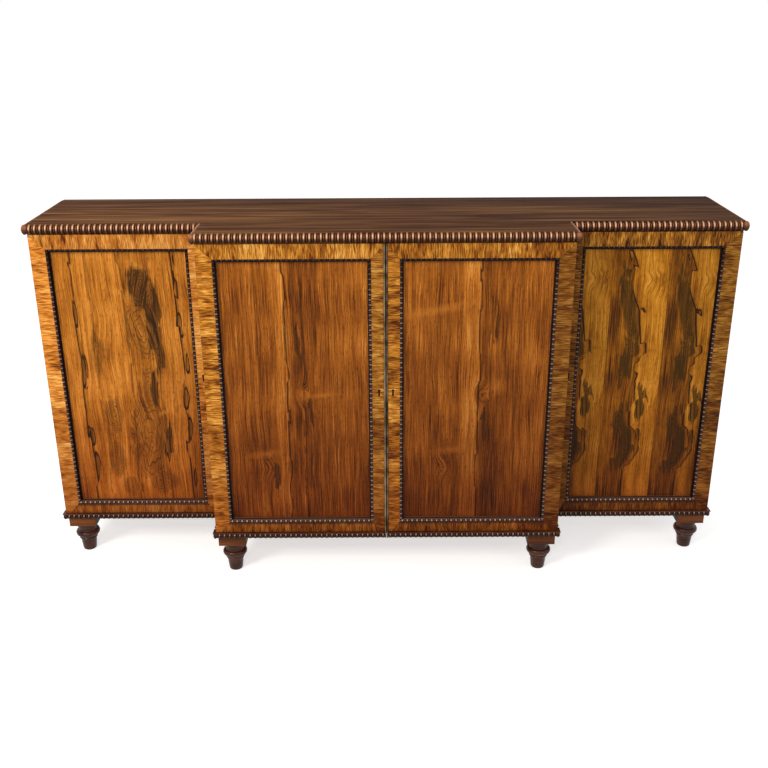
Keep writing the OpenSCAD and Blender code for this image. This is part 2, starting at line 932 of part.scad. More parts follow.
top_board();
top_bead_left();
top_bead_centre();
top_bead_right();
left_end_panel();
right_end_panel();
left_partition();
right_partition();
left_closing_strip();
right_closing_strip();
left_bottom();
centre_bottom();
right_bottom();
back_panels();
left_shelf();
centre_shelf();
right_shelf();
shelf_bearers();
foot_blocks();
front_feet();
back_feet();
base_bead_returns();
fixed_hinge_leaves();
hinge_pins();
strike_plates();
left_wing_frame();
left_wing_panel();
left_wing_beading();
left_wing_base_bead();
left_wing_hinge_leaves();
left_wing_keyhole();
left_wing_lock();
left_wing_lock_bolt();
right_wing_frame();
right_wing_panel();
right_wing_beading();
right_wing_base_bead();
right_wing_hinge_leaves();
right_wing_keyhole();
right_wing_lock();
right_wing_lock_bolt();
left_centre_frame();
left_centre_panel();
left_centre_beading();
left_centre_base_bead();
left_centre_hinge_leaves();
left_centre_keyhole();
left_centre_brass_edge();
left_centre_flush_bolt_case();
left_centre_flush_bolt();
right_centre_frame();
right_centre_panel();
right_centre_beading();
right_centre_base_bead();
right_centre_hinge_leaves();
right_centre_keyhole();
right_centre_brass_edge();
right_centre_lock();
right_centre_lock_bolt();
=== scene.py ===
"""Looks of a rosewood breakfront cabinet: veneers, bead-and-reel, turned feet, metal, light and camera."""

from __future__ import annotations

import logging
import math
from dataclasses import dataclass, field, replace
from enum import Enum
from functools import cached_property
from typing import Sequence

import bmesh
import bpy
from bpy.types import ID, Material, Mesh, Node, NodeSocket, NodeTree, Object
from mathutils import Matrix, Vector

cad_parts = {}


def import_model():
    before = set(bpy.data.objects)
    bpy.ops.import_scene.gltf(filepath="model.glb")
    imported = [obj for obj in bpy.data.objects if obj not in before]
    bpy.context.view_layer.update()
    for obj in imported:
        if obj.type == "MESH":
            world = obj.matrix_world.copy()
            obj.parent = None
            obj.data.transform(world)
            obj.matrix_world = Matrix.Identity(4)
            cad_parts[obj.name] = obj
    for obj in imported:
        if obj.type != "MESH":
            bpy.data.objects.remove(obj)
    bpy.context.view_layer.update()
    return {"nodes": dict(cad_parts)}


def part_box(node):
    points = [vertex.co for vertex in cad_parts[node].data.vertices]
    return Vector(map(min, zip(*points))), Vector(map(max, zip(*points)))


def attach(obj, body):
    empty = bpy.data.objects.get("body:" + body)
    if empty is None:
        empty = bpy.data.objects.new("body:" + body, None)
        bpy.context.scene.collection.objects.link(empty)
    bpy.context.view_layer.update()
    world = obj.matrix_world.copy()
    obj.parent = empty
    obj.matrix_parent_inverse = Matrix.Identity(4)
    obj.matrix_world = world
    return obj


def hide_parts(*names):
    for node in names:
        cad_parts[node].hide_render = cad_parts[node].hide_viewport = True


LOG = logging.getLogger("cabinet")
MM = 0.001

Pair = tuple[float, float]
Size = tuple[float, float, float]
Box = tuple[float, float, float, float]
Stops = Sequence[tuple[float, str]]
Levels = Sequence[Pair]
Layer = tuple[object, ...]
Pattern = tuple[Node, Node]

# What faces back, up or along the grain, by the part of its normal that points that way
FACES_FRONT = -0.5
TURNED_TO = (0.5, 0.9, 0.0, 0.85)

# Directions, with the cabinet's front towards you
LEFTWARD, RIGHTWARD = Vector((-1, 0, 0)), Vector((1, 0, 0))
FORWARD, BACKWARD = Vector((0, -1, 0)), Vector((0, 1, 0))
DOWNWARD, UPWARD = Vector((0, 0, -1)), Vector((0, 0, 1))


# Node trees and colours


def linear(hex_colour: str) -> Box:
    """Turn an sRGB colour into the linear one that a shader takes.

    Args:
        hex_colour: Colour such as "#8a4a1c".

    Returns:
        Linear red, green, blue and alpha.
    """
    parts = [int(hex_colour[start : start + 2], 16) / 255 for start in (1, 3, 5)]
    lit = (part / 12.92 if part <= 0.04045 else ((part + 0.055) / 1.055) ** 2.4 for part in parts)
    return *lit, 1.0


class Network:
    """A node tree, and the one way in which nodes are added to it."""

    def __init__(self, tree: NodeTree, prefix: str) -> None:
        """Keep the tree and the prefix of its own nodes' type names."""
        self.tree = tree
        self.prefix = prefix

    def add(
        self,
        kind: str,
        *values: object,
        named: dict[object, object] | None = None,
        stops: Stops | Levels = (),
        **settings: object,
    ) -> Node:
        """Add a node with its settings and links.

        Args:
            kind: Type name, without the tree's prefix where it has that, and after a dot its operation.
            values: What goes into the sockets in their order; None leaves a socket as it is.
            named: What goes into sockets by their names or numbers.
            stops: Places along a ramp, each with a colour or a plain level.
            settings: Properties of the node.

        Returns:
            The new node.
        """
        kind, _, operation = kind.partition(".")
        node = self.tree.nodes.new(kind if "Node" in kind else self.prefix + kind)
        if operation:
            node.operation = operation
        for name, value in settings.items():
            setattr(node, name, value)
        for number, (place, colour) in enumerate(stops):
            elements = node.color_ramp.elements
            element = elements[number] if number < 2 else elements.new(place)
            element.position = place
            element.color = linear(colour) if isinstance(colour, str) else (colour, colour, colour, 1.0)
        for key, value in [*enumerate(values), *(named or {}).items()]:
            if value is not None:
                self.feed(value, node.inputs[key])
        return node

    def feed(self, value: object, socket: NodeSocket) -> None:
        """Give a socket its value.

        Args:
            value: A node, whose first live output is taken, a socket, a hex colour or a plain value.
            socket: The input.
        """
        if isinstance(value, Node):
            value = next(output for output in value.outputs if not output.is_unavailable)
        if isinstance(value, NodeSocket):
            self.tree.links.new(value, socket)
        elif isinstance(value, str) and value.startswith("#"):
            socket.default_value = linear(value)
        else:
            socket.default_value = value


class Surface(Network):
    """A material's tree, with the place in millimetres and the direction of the surface that it covers."""

    def __init__(self, tree: NodeTree) -> None:
        """Keep the tree."""
        super().__init__(tree, "ShaderNode")

    @cached_property
    def given(self) -> Sequence[NodeSocket]:
        """The piece's own coordinates."""
        return self.add("TexCoord").outputs

    @cached_property
    def point(self) -> Node:
        """The place as one vector."""
        return self.add("VectorMath.MULTIPLY", self.given["Object"], (1000.0, 1000.0, 1000.0))

    @cached_property
    def place(self) -> Sequence[NodeSocket]:
        """The place's x, y and z."""
        return self.add("SeparateXYZ", self.point).outputs

    @cached_property
    def normal(self) -> Sequence[NodeSocket]:
        """The direction's x, y and z."""
        return self.add("SeparateXYZ", self.given["Normal"]).outputs

    def fibres(self, place: object, size: Size, detail: float = 2.0) -> Node:
        """Add noise of a real size.

        Args:
            place: Place in millimetres.
            size: Length of one fleck along x, y and z, in millimetres.
            detail: How many finer steps it has.

        Returns:
            A noise node around 0.5.
        """
        scaled = self.add("VectorMath.DIVIDE", place, size)
        return self.add("TexNoise", named={"Vector": scaled, "Scale": 1.0, "Detail": detail})

    def streaks(self, place: object, fine_size: Size, broad_size: Size) -> tuple[Node, Node]:
        """Add the fine streaks of straight grain, over broad ones.

        Args:
            place: Place in millimetres.
            fine_size: Size of a fine streak in millimetres.
            broad_size: Size of a broad one.

        Returns:
            The fine streaks' node, and a node with the tone of both.
        """
        fine = self.fibres(place, fine_size, 3.0)
        broad = self.add("Math.MULTIPLY", self.fibres(place, broad_size), 0.9)
        tone = self.add("Math.MULTIPLY_ADD", fine, 0.8, broad)
        return fine, self.add("Math.SUBTRACT", tone, 0.35)

    def layered(self, colour: object, *layers: Layer) -> Node:
        """Lay colours over another, each over those before it.

        Args:
            colour: The lowest colour.
            layers: For each its colour, how much of it shows, from 0 to 1, and its way of mixing if any.

        Returns:
            A node with the mixed colour.
        """
        for above, amount, *blend in layers:
            mixing = {"data_type": "RGBA", "blend_type": blend[0] if blend else "MIX"}
            colour = self.add("Mix", amount, named={6: colour, 7: above}, **mixing)
        return colour


# Finishes


@dataclass(frozen=True)
class Finish:
    """What every finish shares: its name and how its surface shines."""

    name: str
    roughness: Pair = (0.35, 0.5)
    metallic: float = 0.0
    specular: float = 0.5
    relief: float = 0.05

    def material(self) -> Material:
        """Build the material.

        Returns:
            The material, with its pattern in millimetres on the piece's own coordinates.
        """
        material = bpy.data.materials.new(self.name)
        material.use_nodes = True
        net = Surface(material.node_tree)
        shader = material.node_tree.nodes["Principled BSDF"]
        shader.inputs["Metallic"].default_value = self.metallic
        shader.inputs["Specular IOR Level"].default_value = self.specular
        colour, height = self.pattern(net)
        low, high = self.roughness
        net.feed(colour, shader.inputs["Base Color"])
        net.feed(net.add("MapRange", height, 0.0, 1.0, high, low), shader.inputs["Roughness"])
        bump = net.add("Bump", named={"Height": height, "Distance": self.relief * MM})
        net.feed(bump, shader.inputs["Normal"])
        return material

    def pattern(self, net: Surface) -> Pattern:
        """Build the finish's own colour and height.

        Args:
            net: The material's tree.

        Returns:
            A node with the colour, and a node with a height from 0 to 1.
        """
        raise NotImplementedError(self.name)


@dataclass(frozen=True)
class Veneer(Finish):
    """Rosewood veneer under French polish, on a mahogany ground that shows behind.

    The box is the left, right, foot and head of the panel or frame in millimetres. The polish is thin and
    old, so it shines only softly, and the veneer is darker and redder towards the foot.
    """

    roughness: Pair = (0.34, 0.5)
    specular: float = 0.07
    box: Box = (0.0, 348.0, 159.0, 858.0)
    tones: Stops = ()
    ground_tones: Stops = ((0.15, "#3c2012"), (0.5, "#6e4428"), (0.85, "#96663e"))

    def behind(self, net: Surface, place: object) -> Layer:
        """Show the ground wherever the surface doesn't face the front.

        Args:
            net: The material's tree.
            place: Place in millimetres, with z along the ground's grain.

        Returns:
            The ground's layer.
        """
        _, tone = net.streaks(place, (2.6, 2.6, 140.0), (24.0, 24.0, 600.0))
        hidden = net.add("Math.GREATER_THAN", net.normal["Y"], FACES_FRONT)
        return net.add("ValToRGB", tone, stops=self.ground_tones), hidden


@dataclass(frozen=True)
class Oval:
    """An oval place in the figure: its middle, half sizes and bend of the grain in mm, and its turn."""

    x: float
    z: float
    across: float
    along: float
    pull: float = 0.0
    turn: float = 0.0


@dataclass(frozen=True)
class Figure:
    """How the grain runs through a leaf of veneer.

    The spot is the plain place on the leaf, the lanes follow the streaks round the knots, and the rings
    wander and jog with the growth rings. The first three are places and the last two distances across, all
    in millimetres.
    """

    spot: Node
    on_lanes: Node
    on_rings: Node
    across_lanes: Node
    across_rings: Node


@dataclass(frozen=True)
class FiguredRosewood(Veneer):
    """Rosewood veneer cut so that the growth rings show.

    Near-black ink lines wander up the panel with sudden jogs and closed islands, over fine streaks from
    dark brown to gold, and the streaks close round knots.
    """

    leaf: float = 0.0
    first_leaf: float = 0.0
    leaf_shift: float = 9.0
    leaf_tone: float = 0.22
    joint: float = 0.9
    cut: float = 0.0
    wave: float = 12.0
    jog: float = 6.0
    path: Levels = ()
    path_scale: float = 80.0
    # Ovals where a painted sheen brightens the figure
    lights: tuple[Oval, ...] = ()
    # Sizes of flecks across, through and along the grain, and how far they push it, all in millimetres
    sway: Size = (120.0, 1.0, 260.0)
    ripple: Size = (26.0, 1.0, 84.0)
    ripple_by: float = 7.0
    terrace: Size = (40.0, 1.0, 95.0)
    terrace_by: float = 3.0
    weave: Size = (34.0, 1.0, 110.0)
    weave_by: float = 9.0
    # A streak is some 0.5 mm wide in the wood, and a pore 0.2 mm; both are drawn wider to show
    streak: float = 1.6
    streak_length: float = 110.0
    stripe: Size = (11.0, 1.0, 360.0)
    zone: Size = (64.0, 1.0, 130.0)
    hair: Size = (2.6, 1.0, 300.0)
    pore: Size = (1.7, 1.0, 13.0)
    contrast: Size = (0.8, 0.5, 0.6)
    bands: Levels = ((0.0, 0.5), (1.0, 0.5))
    inks: tuple[Pair, ...] = ()
    # An ink line is 0.3 to 1 mm wide in the wood, and drawn nearly 3 mm wide to show, crisp on one side
    ink_edge: Levels = ((-2.2, 0.0), (-1.2, 1.0), (1.5, 1.0), (2.6, 0.35), (7.5, 0.0))
    island_rim: Levels = ((0.0, 0.0), (0.03, 0.0), (0.1, 1.0), (0.28, 1.0), (0.4, 0.0))
    islands: tuple[Oval, ...] = ()
    clouds: tuple[Oval, ...] = ()
    eyes: tuple[Oval, ...] = ()
    whorls: tuple[Oval, ...] = ()
    # How much dark an eye and a cloud has, with the depth of the rings nested in it
    eye_depths: Pair = (0.42, 0.7)
    cloud_depths: Pair = (1.0, 0.75)
    drift: Size = (34.0, 1.0, 60.0)
    drift_by: Size = (9.0, 0.0, 18.0)
    ring_flow: Size = (24.0, 1.0, 60.0)
    ring_count: float = 44.0
    cloud_grain: Size = (3.6, 1.0, 110.0)
    cloud_tear: Size = (5.0, 1.0, 80.0)
    wear: Size = (12.0, 1.0, 90.0)
    sheen_fleck: Size = (3.0, 1.0, 40.0)
    cloud_tone: str = "#4a2a0e"
    ink_tone: str = "#1a0c05"
    pore_tone: str = "#34190a"
    joint_tone: str = "#241006"
    foot_tint: str = "#cfa898"
    foot_from: float = 460.0
    # Painted shade along the sunk panel's beading, with some dust: its tone, flow, spread and reach
    recess_shade_and_dust: str = "#a68e7e"
    recess_shade_flow: Size = (60.0, 1.0, 90.0)
    recess_shade_by: float = 30.0
    recess_shade_reach: Box = (22.0, 66.0, 0.85, 0.0)

    @property
    def width(self) -> float:
        """Width of one leaf of veneer."""
        return self.leaf or self.box[1] - self.box[0]

    def pattern(self, net: Surface) -> Pattern:
        """Build the veneer's colour and its pores.

        Args:
            net: The material's tree.

        Returns:
            The colour's node and the height's node.
        """
        rise = net.add("Math.SUBTRACT", net.place["Z"], self.box[2])
        figure, joints = self.figure(net, rise)
        hairs = net.fibres(figure.on_lanes, self.hair, 1.0)
        hairs = net.add("MapRange", hairs, 0.4, 0.33, 0.0, 0.5)
        shadows, rings = self.clouded(net, figure)
        pits = net.add("MapRange", net.fibres(figure.spot, self.pore, 1.0), 0.56, 0.68, 0.0, 1.0)
        low = net.add("MapRange", rise, self.foot_from, 0.0, 0.0, 0.9)
        colour = net.layered(
            self.streaked(net, figure),
            (self.cloud_tone, hairs),
            *shadows,
            # Painted sheen of the figure
            *self.lit(net, figure),
            *self.inked(net, figure, rings),
            (self.pore_tone, net.add("Math.MULTIPLY", pits, 0.5)),
            (self.foot_tint, low, "MULTIPLY"),
            *joints,
            # Painted shade, with some dust, along the beading
            (self.recess_shade_and_dust, self.shaded_and_dusty(net, figure, rise), "MULTIPLY"),
            self.behind(net, net.point),
        )
        return colour, net.add("Math.SUBTRACT", 1.0, pits)

    def figure(self, net: Surface, rise: Node) -> tuple[Figure, list[Layer]]:
        """Bend the grain, and part it into leaves where the panel has them.

        Args:
            net: The material's tree.
            rise: Height above the panel's foot.

        Returns:
            The grain, and the layer with the leaves' joints and own tones.
        """
        left, _, foot, head = self.box
        across = net.add("Math.SUBTRACT", net.place["X"], left - self.first_leaf)
        up, joints = rise, []
        if self.leaf:
            leaf = net.add("Math.FLOOR", net.add("Math.DIVIDE", across, self.leaf))
            across = net.add("Math.FLOORED_MODULO", across, self.leaf)
            up = net.add("Math.MULTIPLY_ADD", leaf, self.leaf_shift, up)
            random = net.add("TexWhiteNoise", named={"W": leaf}, noise_dimensions="1D")
            tone = net.add("MapRange", random.outputs["Value"], 0.0, 1.0, 0.0, self.leaf_tone)
            joint = net.add("Math.LESS_THAN", across, self.joint)
            joints.append((self.joint_tone, net.add("Math.MULTIPLY_ADD", joint, 0.45, tone)))
        spot = net.add("CombineXYZ", across, self.cut, up)
        calm = net.add("Math.ADD", across, -self.wave)
        calm = net.add("Math.MULTIPLY_ADD", net.fibres(spot, self.sway, 1.0), self.wave * 2, calm)
        rings = net.add("Math.MULTIPLY_ADD", net.fibres(spot, self.ripple, 1.0), self.ripple_by, calm)
        steps = (0.47, 0.5, -self.terrace_by, self.jog - self.terrace_by)
        terrace = net.add("MapRange", net.fibres(spot, self.terrace, 1.0), *steps)
        rings = net.add("Math.ADD", rings, terrace)
        if self.path:
            height = net.add("Math.DIVIDE", rise, head - foot)
            swerve = net.add("ValToRGB", height, stops=self.path)
            rings = net.add("Math.MULTIPLY_ADD", swerve, -self.path_scale, rings)
        on_rings = net.add("CombineXYZ", rings, self.cut, up)
        lanes = net.add("Math.MULTIPLY_ADD", net.fibres(spot, self.weave, 1.0), self.weave_by, calm)
        for whorl in self.whorls:
            near = (self.hump(net, on_rings, whorl), 0.0, 1.0, 0.0, whorl.pull)
            lanes = net.add("Math.ADD", lanes, net.add("MapRange", *near, interpolation_type="SMOOTHSTEP"))
        return Figure(spot, net.add("CombineXYZ", lanes, self.cut, up), on_rings, lanes, rings), joints

    def streaked(self, net: Surface, figure: Figure) -> Node:
        """Colour the streaks, in broad bands of lighter and darker wood.

        Args:
            net: The material's tree.
            figure: How the grain runs.

        Returns:
            A node with the colour.
        """
        zone = figure.across_rings if self.path else figure.across_lanes
        bands = net.add("ValToRGB", net.add("Math.DIVIDE", zone, self.width), stops=self.bands)
        tone = net.add("Math.ADD", bands, -sum(self.contrast) / 2)
        flecks = (
            (figure.on_lanes, (self.streak, 1.0, self.streak_length)),
            (figure.on_lanes, self.stripe),
            (figure.on_rings, self.zone),
        )
        for (place, size), part in zip(flecks, self.contrast):
            tone = net.add("Math.MULTIPLY_ADD", net.fibres(place, size, 3.0), part, tone)
        return net.add("ValToRGB", tone, stops=self.tones)

    def clouded(self, net: Surface, figure: Figure) -> tuple[list[Layer], Node | None]:
        """Shape the ragged dark clouds and the fainter eyes, with rings nested in them.

        Args:
            net: The material's tree.
            figure: How the grain runs.

        Returns:
            The layers of dark wood, and a node with the rings' depth.
        """
        drift = net.fibres(figure.spot, self.drift, 1.0).outputs["Color"]
        both_ways = tuple(2 * part for part in self.drift_by)
        drift = net.add("VectorMath.MULTIPLY_ADD", drift, both_ways, figure.on_rings)
        drift = net.add("VectorMath.SUBTRACT", drift, self.drift_by)
        flow = net.fibres(figure.spot, self.ring_flow, 1.0)
        grain = net.add("MapRange", net.fibres(figure.on_lanes, self.cloud_grain), 0.4, 0.6, 0.5, 1.0)
        layers, nested = [], None
        for ovals, depth, line in ((self.eyes, *self.eye_depths), (self.clouds, *self.cloud_depths)):
            if not ovals:
                continue
            cloud = self.deepest(net, drift, ovals)
            torn = net.fibres(figure.on_lanes, self.cloud_tear, 3.0)
            ragged = net.add("Math.MULTIPLY_ADD", torn, 1.3, cloud)
            inside = net.add("MapRange", ragged, 0.72, 0.88, 0.0, 1.0)
            inside = net.add("Math.MULTIPLY", inside, net.add("MapRange", cloud, 0.0, 0.1, 0.0, 1.0))
            filled = net.add("Math.MULTIPLY", net.add("Math.MULTIPLY", inside, depth), grain)
            layers.append((self.cloud_tone, filled))
            rings = net.add("Math.MULTIPLY_ADD", flow, 0.45, cloud)
            rings = net.add("Math.SINE", net.add("Math.MULTIPLY", rings, self.ring_count))
            rings = net.add("Math.MULTIPLY", net.add("MapRange", rings, 0.7, 1.0, 0.0, line), inside)
            nested = net.add("Math.MAXIMUM", nested, rings) if nested else rings
        return layers, nested

    def lit(self, net: Surface, figure: Figure) -> list[Layer]:
        """Paint a sheen: brighten the places where the fibres turn towards the light.

        Args:
            net: The material's tree.
            figure: How the grain runs.

        Returns:
            The bright layer, if the panel has one.
        """
        if not self.lights:
            return []
        bright = net.add("Math.MULTIPLY", self.deepest(net, figure.spot, self.lights), 1.2)
        bright = net.add("Math.MULTIPLY", bright, net.fibres(figure.on_lanes, self.sheen_fleck))
        return [(self.tones[-2][1], bright)]

    def inked(self, net: Surface, figure: Figure, rings: Node | None) -> list[Layer]:
        """Draw the ink lines, and the islands that they close round.

        Args:
            net: The material's tree.
            figure: How the grain runs.
            rings: Depth of the rings nested in the clouds.

        Returns:
            The islands' layer and the lines' layer.
        """
        stops = [(0.0, 0.0)]
        for place, depth in self.inks:
            stops += [((place + offset) / self.width, part * depth) for offset, part in self.ink_edge]
        lines = net.add("ValToRGB", net.add("Math.DIVIDE", figure.across_rings, self.width), stops=stops)
        island = self.deepest(net, figure.on_rings, self.islands)
        ink = net.add("Math.MAXIMUM", lines, net.add("ValToRGB", island, stops=self.island_rim))
        ink = net.add("Math.MAXIMUM", ink, rings)
        worn = net.add("MapRange", net.fibres(figure.on_rings, self.wear), 0.35, 0.5, 0.75, 0.96)
        filled = net.add("MapRange", island, 0.2, 0.34, 0.0, 0.5)
        return [(self.cloud_tone, filled), (self.ink_tone, net.add("Math.MULTIPLY", ink, worn))]

    def shaded_and_dusty(self, net: Surface, figure: Figure, rise: Node) -> Node:
        """Find painted shade, with some dust and polish, along the beading, most of all low down.

        Args:
            net: The material's tree.
            figure: How the grain runs.
            rise: Height above the panel's foot.

        Returns:
            A node with how much of them shows.
        """
        left, right = self.box[:2]
        middle = net.add("Math.SUBTRACT", net.place["X"], (left + right) / 2)
        edge = net.add("Math.SUBTRACT", (right - left) / 2, net.add("Math.ABSOLUTE", middle))
        edge = net.add("Math.MULTIPLY_ADD", rise, 0.12, edge)
        flow = net.fibres(figure.spot, self.recess_shade_flow, 1.0)
        edge = net.add("Math.MULTIPLY_ADD", flow, self.recess_shade_by, edge)
        return net.add("MapRange", edge, *self.recess_shade_reach)

    def hump(self, net: Surface, place: Node, oval: Oval) -> NodeSocket:
        """Rise from the edge of an oval to its middle.

        Args:
            net: The material's tree.
            place: Place in the grain.
            oval: The oval.

        Returns:
            A socket that is 0 outside the oval and 1 in its middle.
        """
        size = (oval.across, 1000.0, oval.along)
        turn = (0.0, math.radians(oval.turn), 0.0)
        local = net.add("Mapping", place, (oval.x, 0.0, oval.z), turn, size, vector_type="TEXTURE")
        return net.add("TexGradient", local, gradient_type="SPHERICAL").outputs["Fac"]

    def deepest(self, net: Surface, place: Node, ovals: Sequence[Oval]) -> Node:
        """Find how deep a place lies inside any of several ovals.

        Args:
            net: The material's tree.
            place: Place in the grain.
            ovals: The ovals.

        Returns:
            A node that is 0 outside them all.
        """
        height = net.add("Math.ADD", 0.0, 0.0)
        for oval in ovals:
            height = net.add("Math.MAXIMUM", height, self.hump(net, place, oval))
        return height


@dataclass(frozen=True)
class Member:
    """A place on a door's frame: along its stile or rail and over it, its darkening (partly the leaves' own
    tone, partly painted shade), and where it lies.

    The rise is the height in parts of the bottom rail, and the corner is 0 on the mitres.
    """

    run: Node
    over: Node
    dark: Node
    on_rail: Node
    rise: Node
    corner: Node


@dataclass(frozen=True)
class CrossbandedRosewood(Veneer):
    """Rosewood crossbanding laid over a door's stiles and rails.

    Short leaves of veneer lie with their grain across each member, mitred at the corners. The eye sees fine
    dark flecks across the member, a thin joint and a change of tone from leaf to leaf.
    """

    members: Box = (38.0, 27.0, 47.0, 36.0)
    leaf: float = 96.0
    uneven: float = 0.75
    apart: float = 1370.0
    foot_tint: str = "#ac7454"
    foot_h: float = 420.0
    shade: Pair = (-1.31, -0.97)
    slant: float = 0.12
    wander: Size = (26.0, 1.0, 30.0)
    wander_by: float = 4.0
    # The lines are some 0.3 mm wide in the wood, and drawn 1.5 to 2 mm wide to show
    fine: Size = (1.5, 1.0, 19.0)
    growth: Size = (2.1, 1.0, 26.0)
    broad: Size = (14.0, 1.0, 46.0)
    contrast: Pair = (1.9, 1.3)
    lines: float = 0.7
    # How far each stile and rail is darkened, left, right, foot and head: partly the leaves' own tone,
    # partly painted shade
    dark: Box = (0.0, 0.0, 0.0, 0.0)
    joint: float = 0.8
    mitre: float = 0.016
    seam_depth: float = 0.6
    line_tone: str = "#2a1208"
    member_shade_tone: str = "#3a1c0a"
    # Tone of the painted shade under the beading, with old polish
    shade_under_beading_tone: str = "#2c1a12"
    seam_tone: str = "#24100a"

    def pattern(self, net: Surface) -> Pattern:
        """Build the crossbanding's colour and its pores.

        Args:
            net: The material's tree.

        Returns:
            The colour's node and the height's node.
        """
        place, foot = self.member(net), self.box[2]
        leaves = {"W": place.run, "Scale": 1.0 / self.leaf, "Randomness": self.uneven}
        cell = net.add("TexVoronoi", named=leaves, voronoi_dimensions="1D")
        random = net.add("SeparateColor", cell.outputs["Color"]).outputs
        spot = net.add("CombineXYZ", place.run, None, place.over)
        slope = net.add("Math.MULTIPLY_ADD", random[1], self.slant, place.run)
        wavy = net.add("Math.MULTIPLY_ADD", net.fibres(spot, self.wander), self.wander_by, slope)
        lines = net.add("CombineXYZ", wavy, random[1], place.over)
        fine = net.fibres(lines, self.fine, 3.0)
        growth = net.add("MapRange", net.fibres(lines, self.growth, 1.0), 0.43, 0.34, 0.0, self.lines)
        fine_part, broad_part = self.contrast
        tone = net.add("MapRange", random[0], 0.0, 1.0, *self.shade)
        tone = net.add("Math.MULTIPLY_ADD", net.fibres(lines, self.broad), broad_part, tone)
        tone = net.add("Math.MULTIPLY_ADD", fine, fine_part, tone)
        low = net.add("MapRange", net.place["Z"], foot + self.foot_h, foot, 0.0, 0.8)
        colour = net.layered(
            net.add("ValToRGB", tone, stops=self.tones),
            (self.line_tone, growth),
            # Painted shade, partly the leaves' own tone, on each member
            (self.member_shade_tone, place.dark),
            (self.foot_tint, low, "MULTIPLY"),
            # Painted shade under the beading, with old polish
            (self.shade_under_beading_tone, self.shade_under_beading(net, place)),
            (self.seam_tone, self.seams(net, place, leaves)),
            self.behind(net, net.add("CombineXYZ", place.over, None, place.run)),
        )
        return colour, net.add("MapRange", fine, 0.3, 0.55, 0.0, 1.0)

    def member(self, net: Surface) -> Member:
        """Find which stile or rail a place lies on, and where on it.

        Args:
            net: The material's tree.

        Returns:
            The place on the member.
        """
        left, _, foot, _ = self.box
        x, z = net.place["X"], net.place["Z"]
        edges = []
        for socket, start, width in zip((x, x, z, z), self.box, self.members):
            sign = 1.0 if start in (left, foot) else -1.0
            edges.append(net.add("Math.MULTIPLY", net.add("Math.SUBTRACT", socket, start), sign / width))
        stile, rail = (net.add("Math.MINIMUM", *pair) for pair in (edges[:2], edges[2:]))
        on_left, on_foot = (net.add("Math.LESS_THAN", *pair) for pair in (edges[:2], edges[2:]))
        on_rail = net.add("Math.LESS_THAN", rail, stile)
        stile_dark, rail_dark = (
            net.add("Mix", flag, named={2: near, 3: far}, data_type="FLOAT")
            for flag, far, near in ((on_left, *self.dark[:2]), (on_foot, *self.dark[2:]))
        )
        along, over, dark = (
            net.add("Mix", on_rail, named={2: on_stile, 3: across_rail}, data_type="FLOAT")
            for on_stile, across_rail in ((z, x), (x, z), (stile_dark, rail_dark))
        )
        run = net.add("Math.MULTIPLY_ADD", net.add("Math.ADD", on_rail, on_left), self.apart, along)
        corner = net.add("Math.ABSOLUTE", net.add("Math.SUBTRACT", stile, rail))
        return Member(run, over, dark, on_rail, edges[2], corner)

    def shade_under_beading(self, net: Surface, place: Member) -> Node:
        """Find the painted shade under the beading on the bottom rail, with some old polish gathered there.

        Args:
            net: The material's tree.
            place: The place on the member.

        Returns:
            A node with how much of it shows.
        """
        upper = net.add("MapRange", place.rise, 0.83, 0.9, 0.0, 0.75)
        upper = net.add("Math.MULTIPLY", upper, place.on_rail)
        return net.add("Math.MULTIPLY", upper, net.add("Math.LESS_THAN", place.rise, 1.2))

    def seams(self, net: Surface, place: Member, leaves: dict[str, object]) -> Node:
        """Find the joints between the leaves and the mitres at the corners.

        Args:
            net: The material's tree.
            place: The place on the member.
            leaves: The settings that part the member into leaves.

        Returns:
            A node with how much of them shows.
        """
        between = net.add("TexVoronoi", named=leaves, voronoi_dimensions="1D", feature="DISTANCE_TO_EDGE")
        gap = net.add("Math.LESS_THAN", between.outputs["Distance"], self.joint / self.leaf)
        seam = net.add("Math.MAXIMUM", gap, net.add("Math.LESS_THAN", place.corner, self.mitre))
        return net.add("Math.MULTIPLY", seam, self.seam_depth)


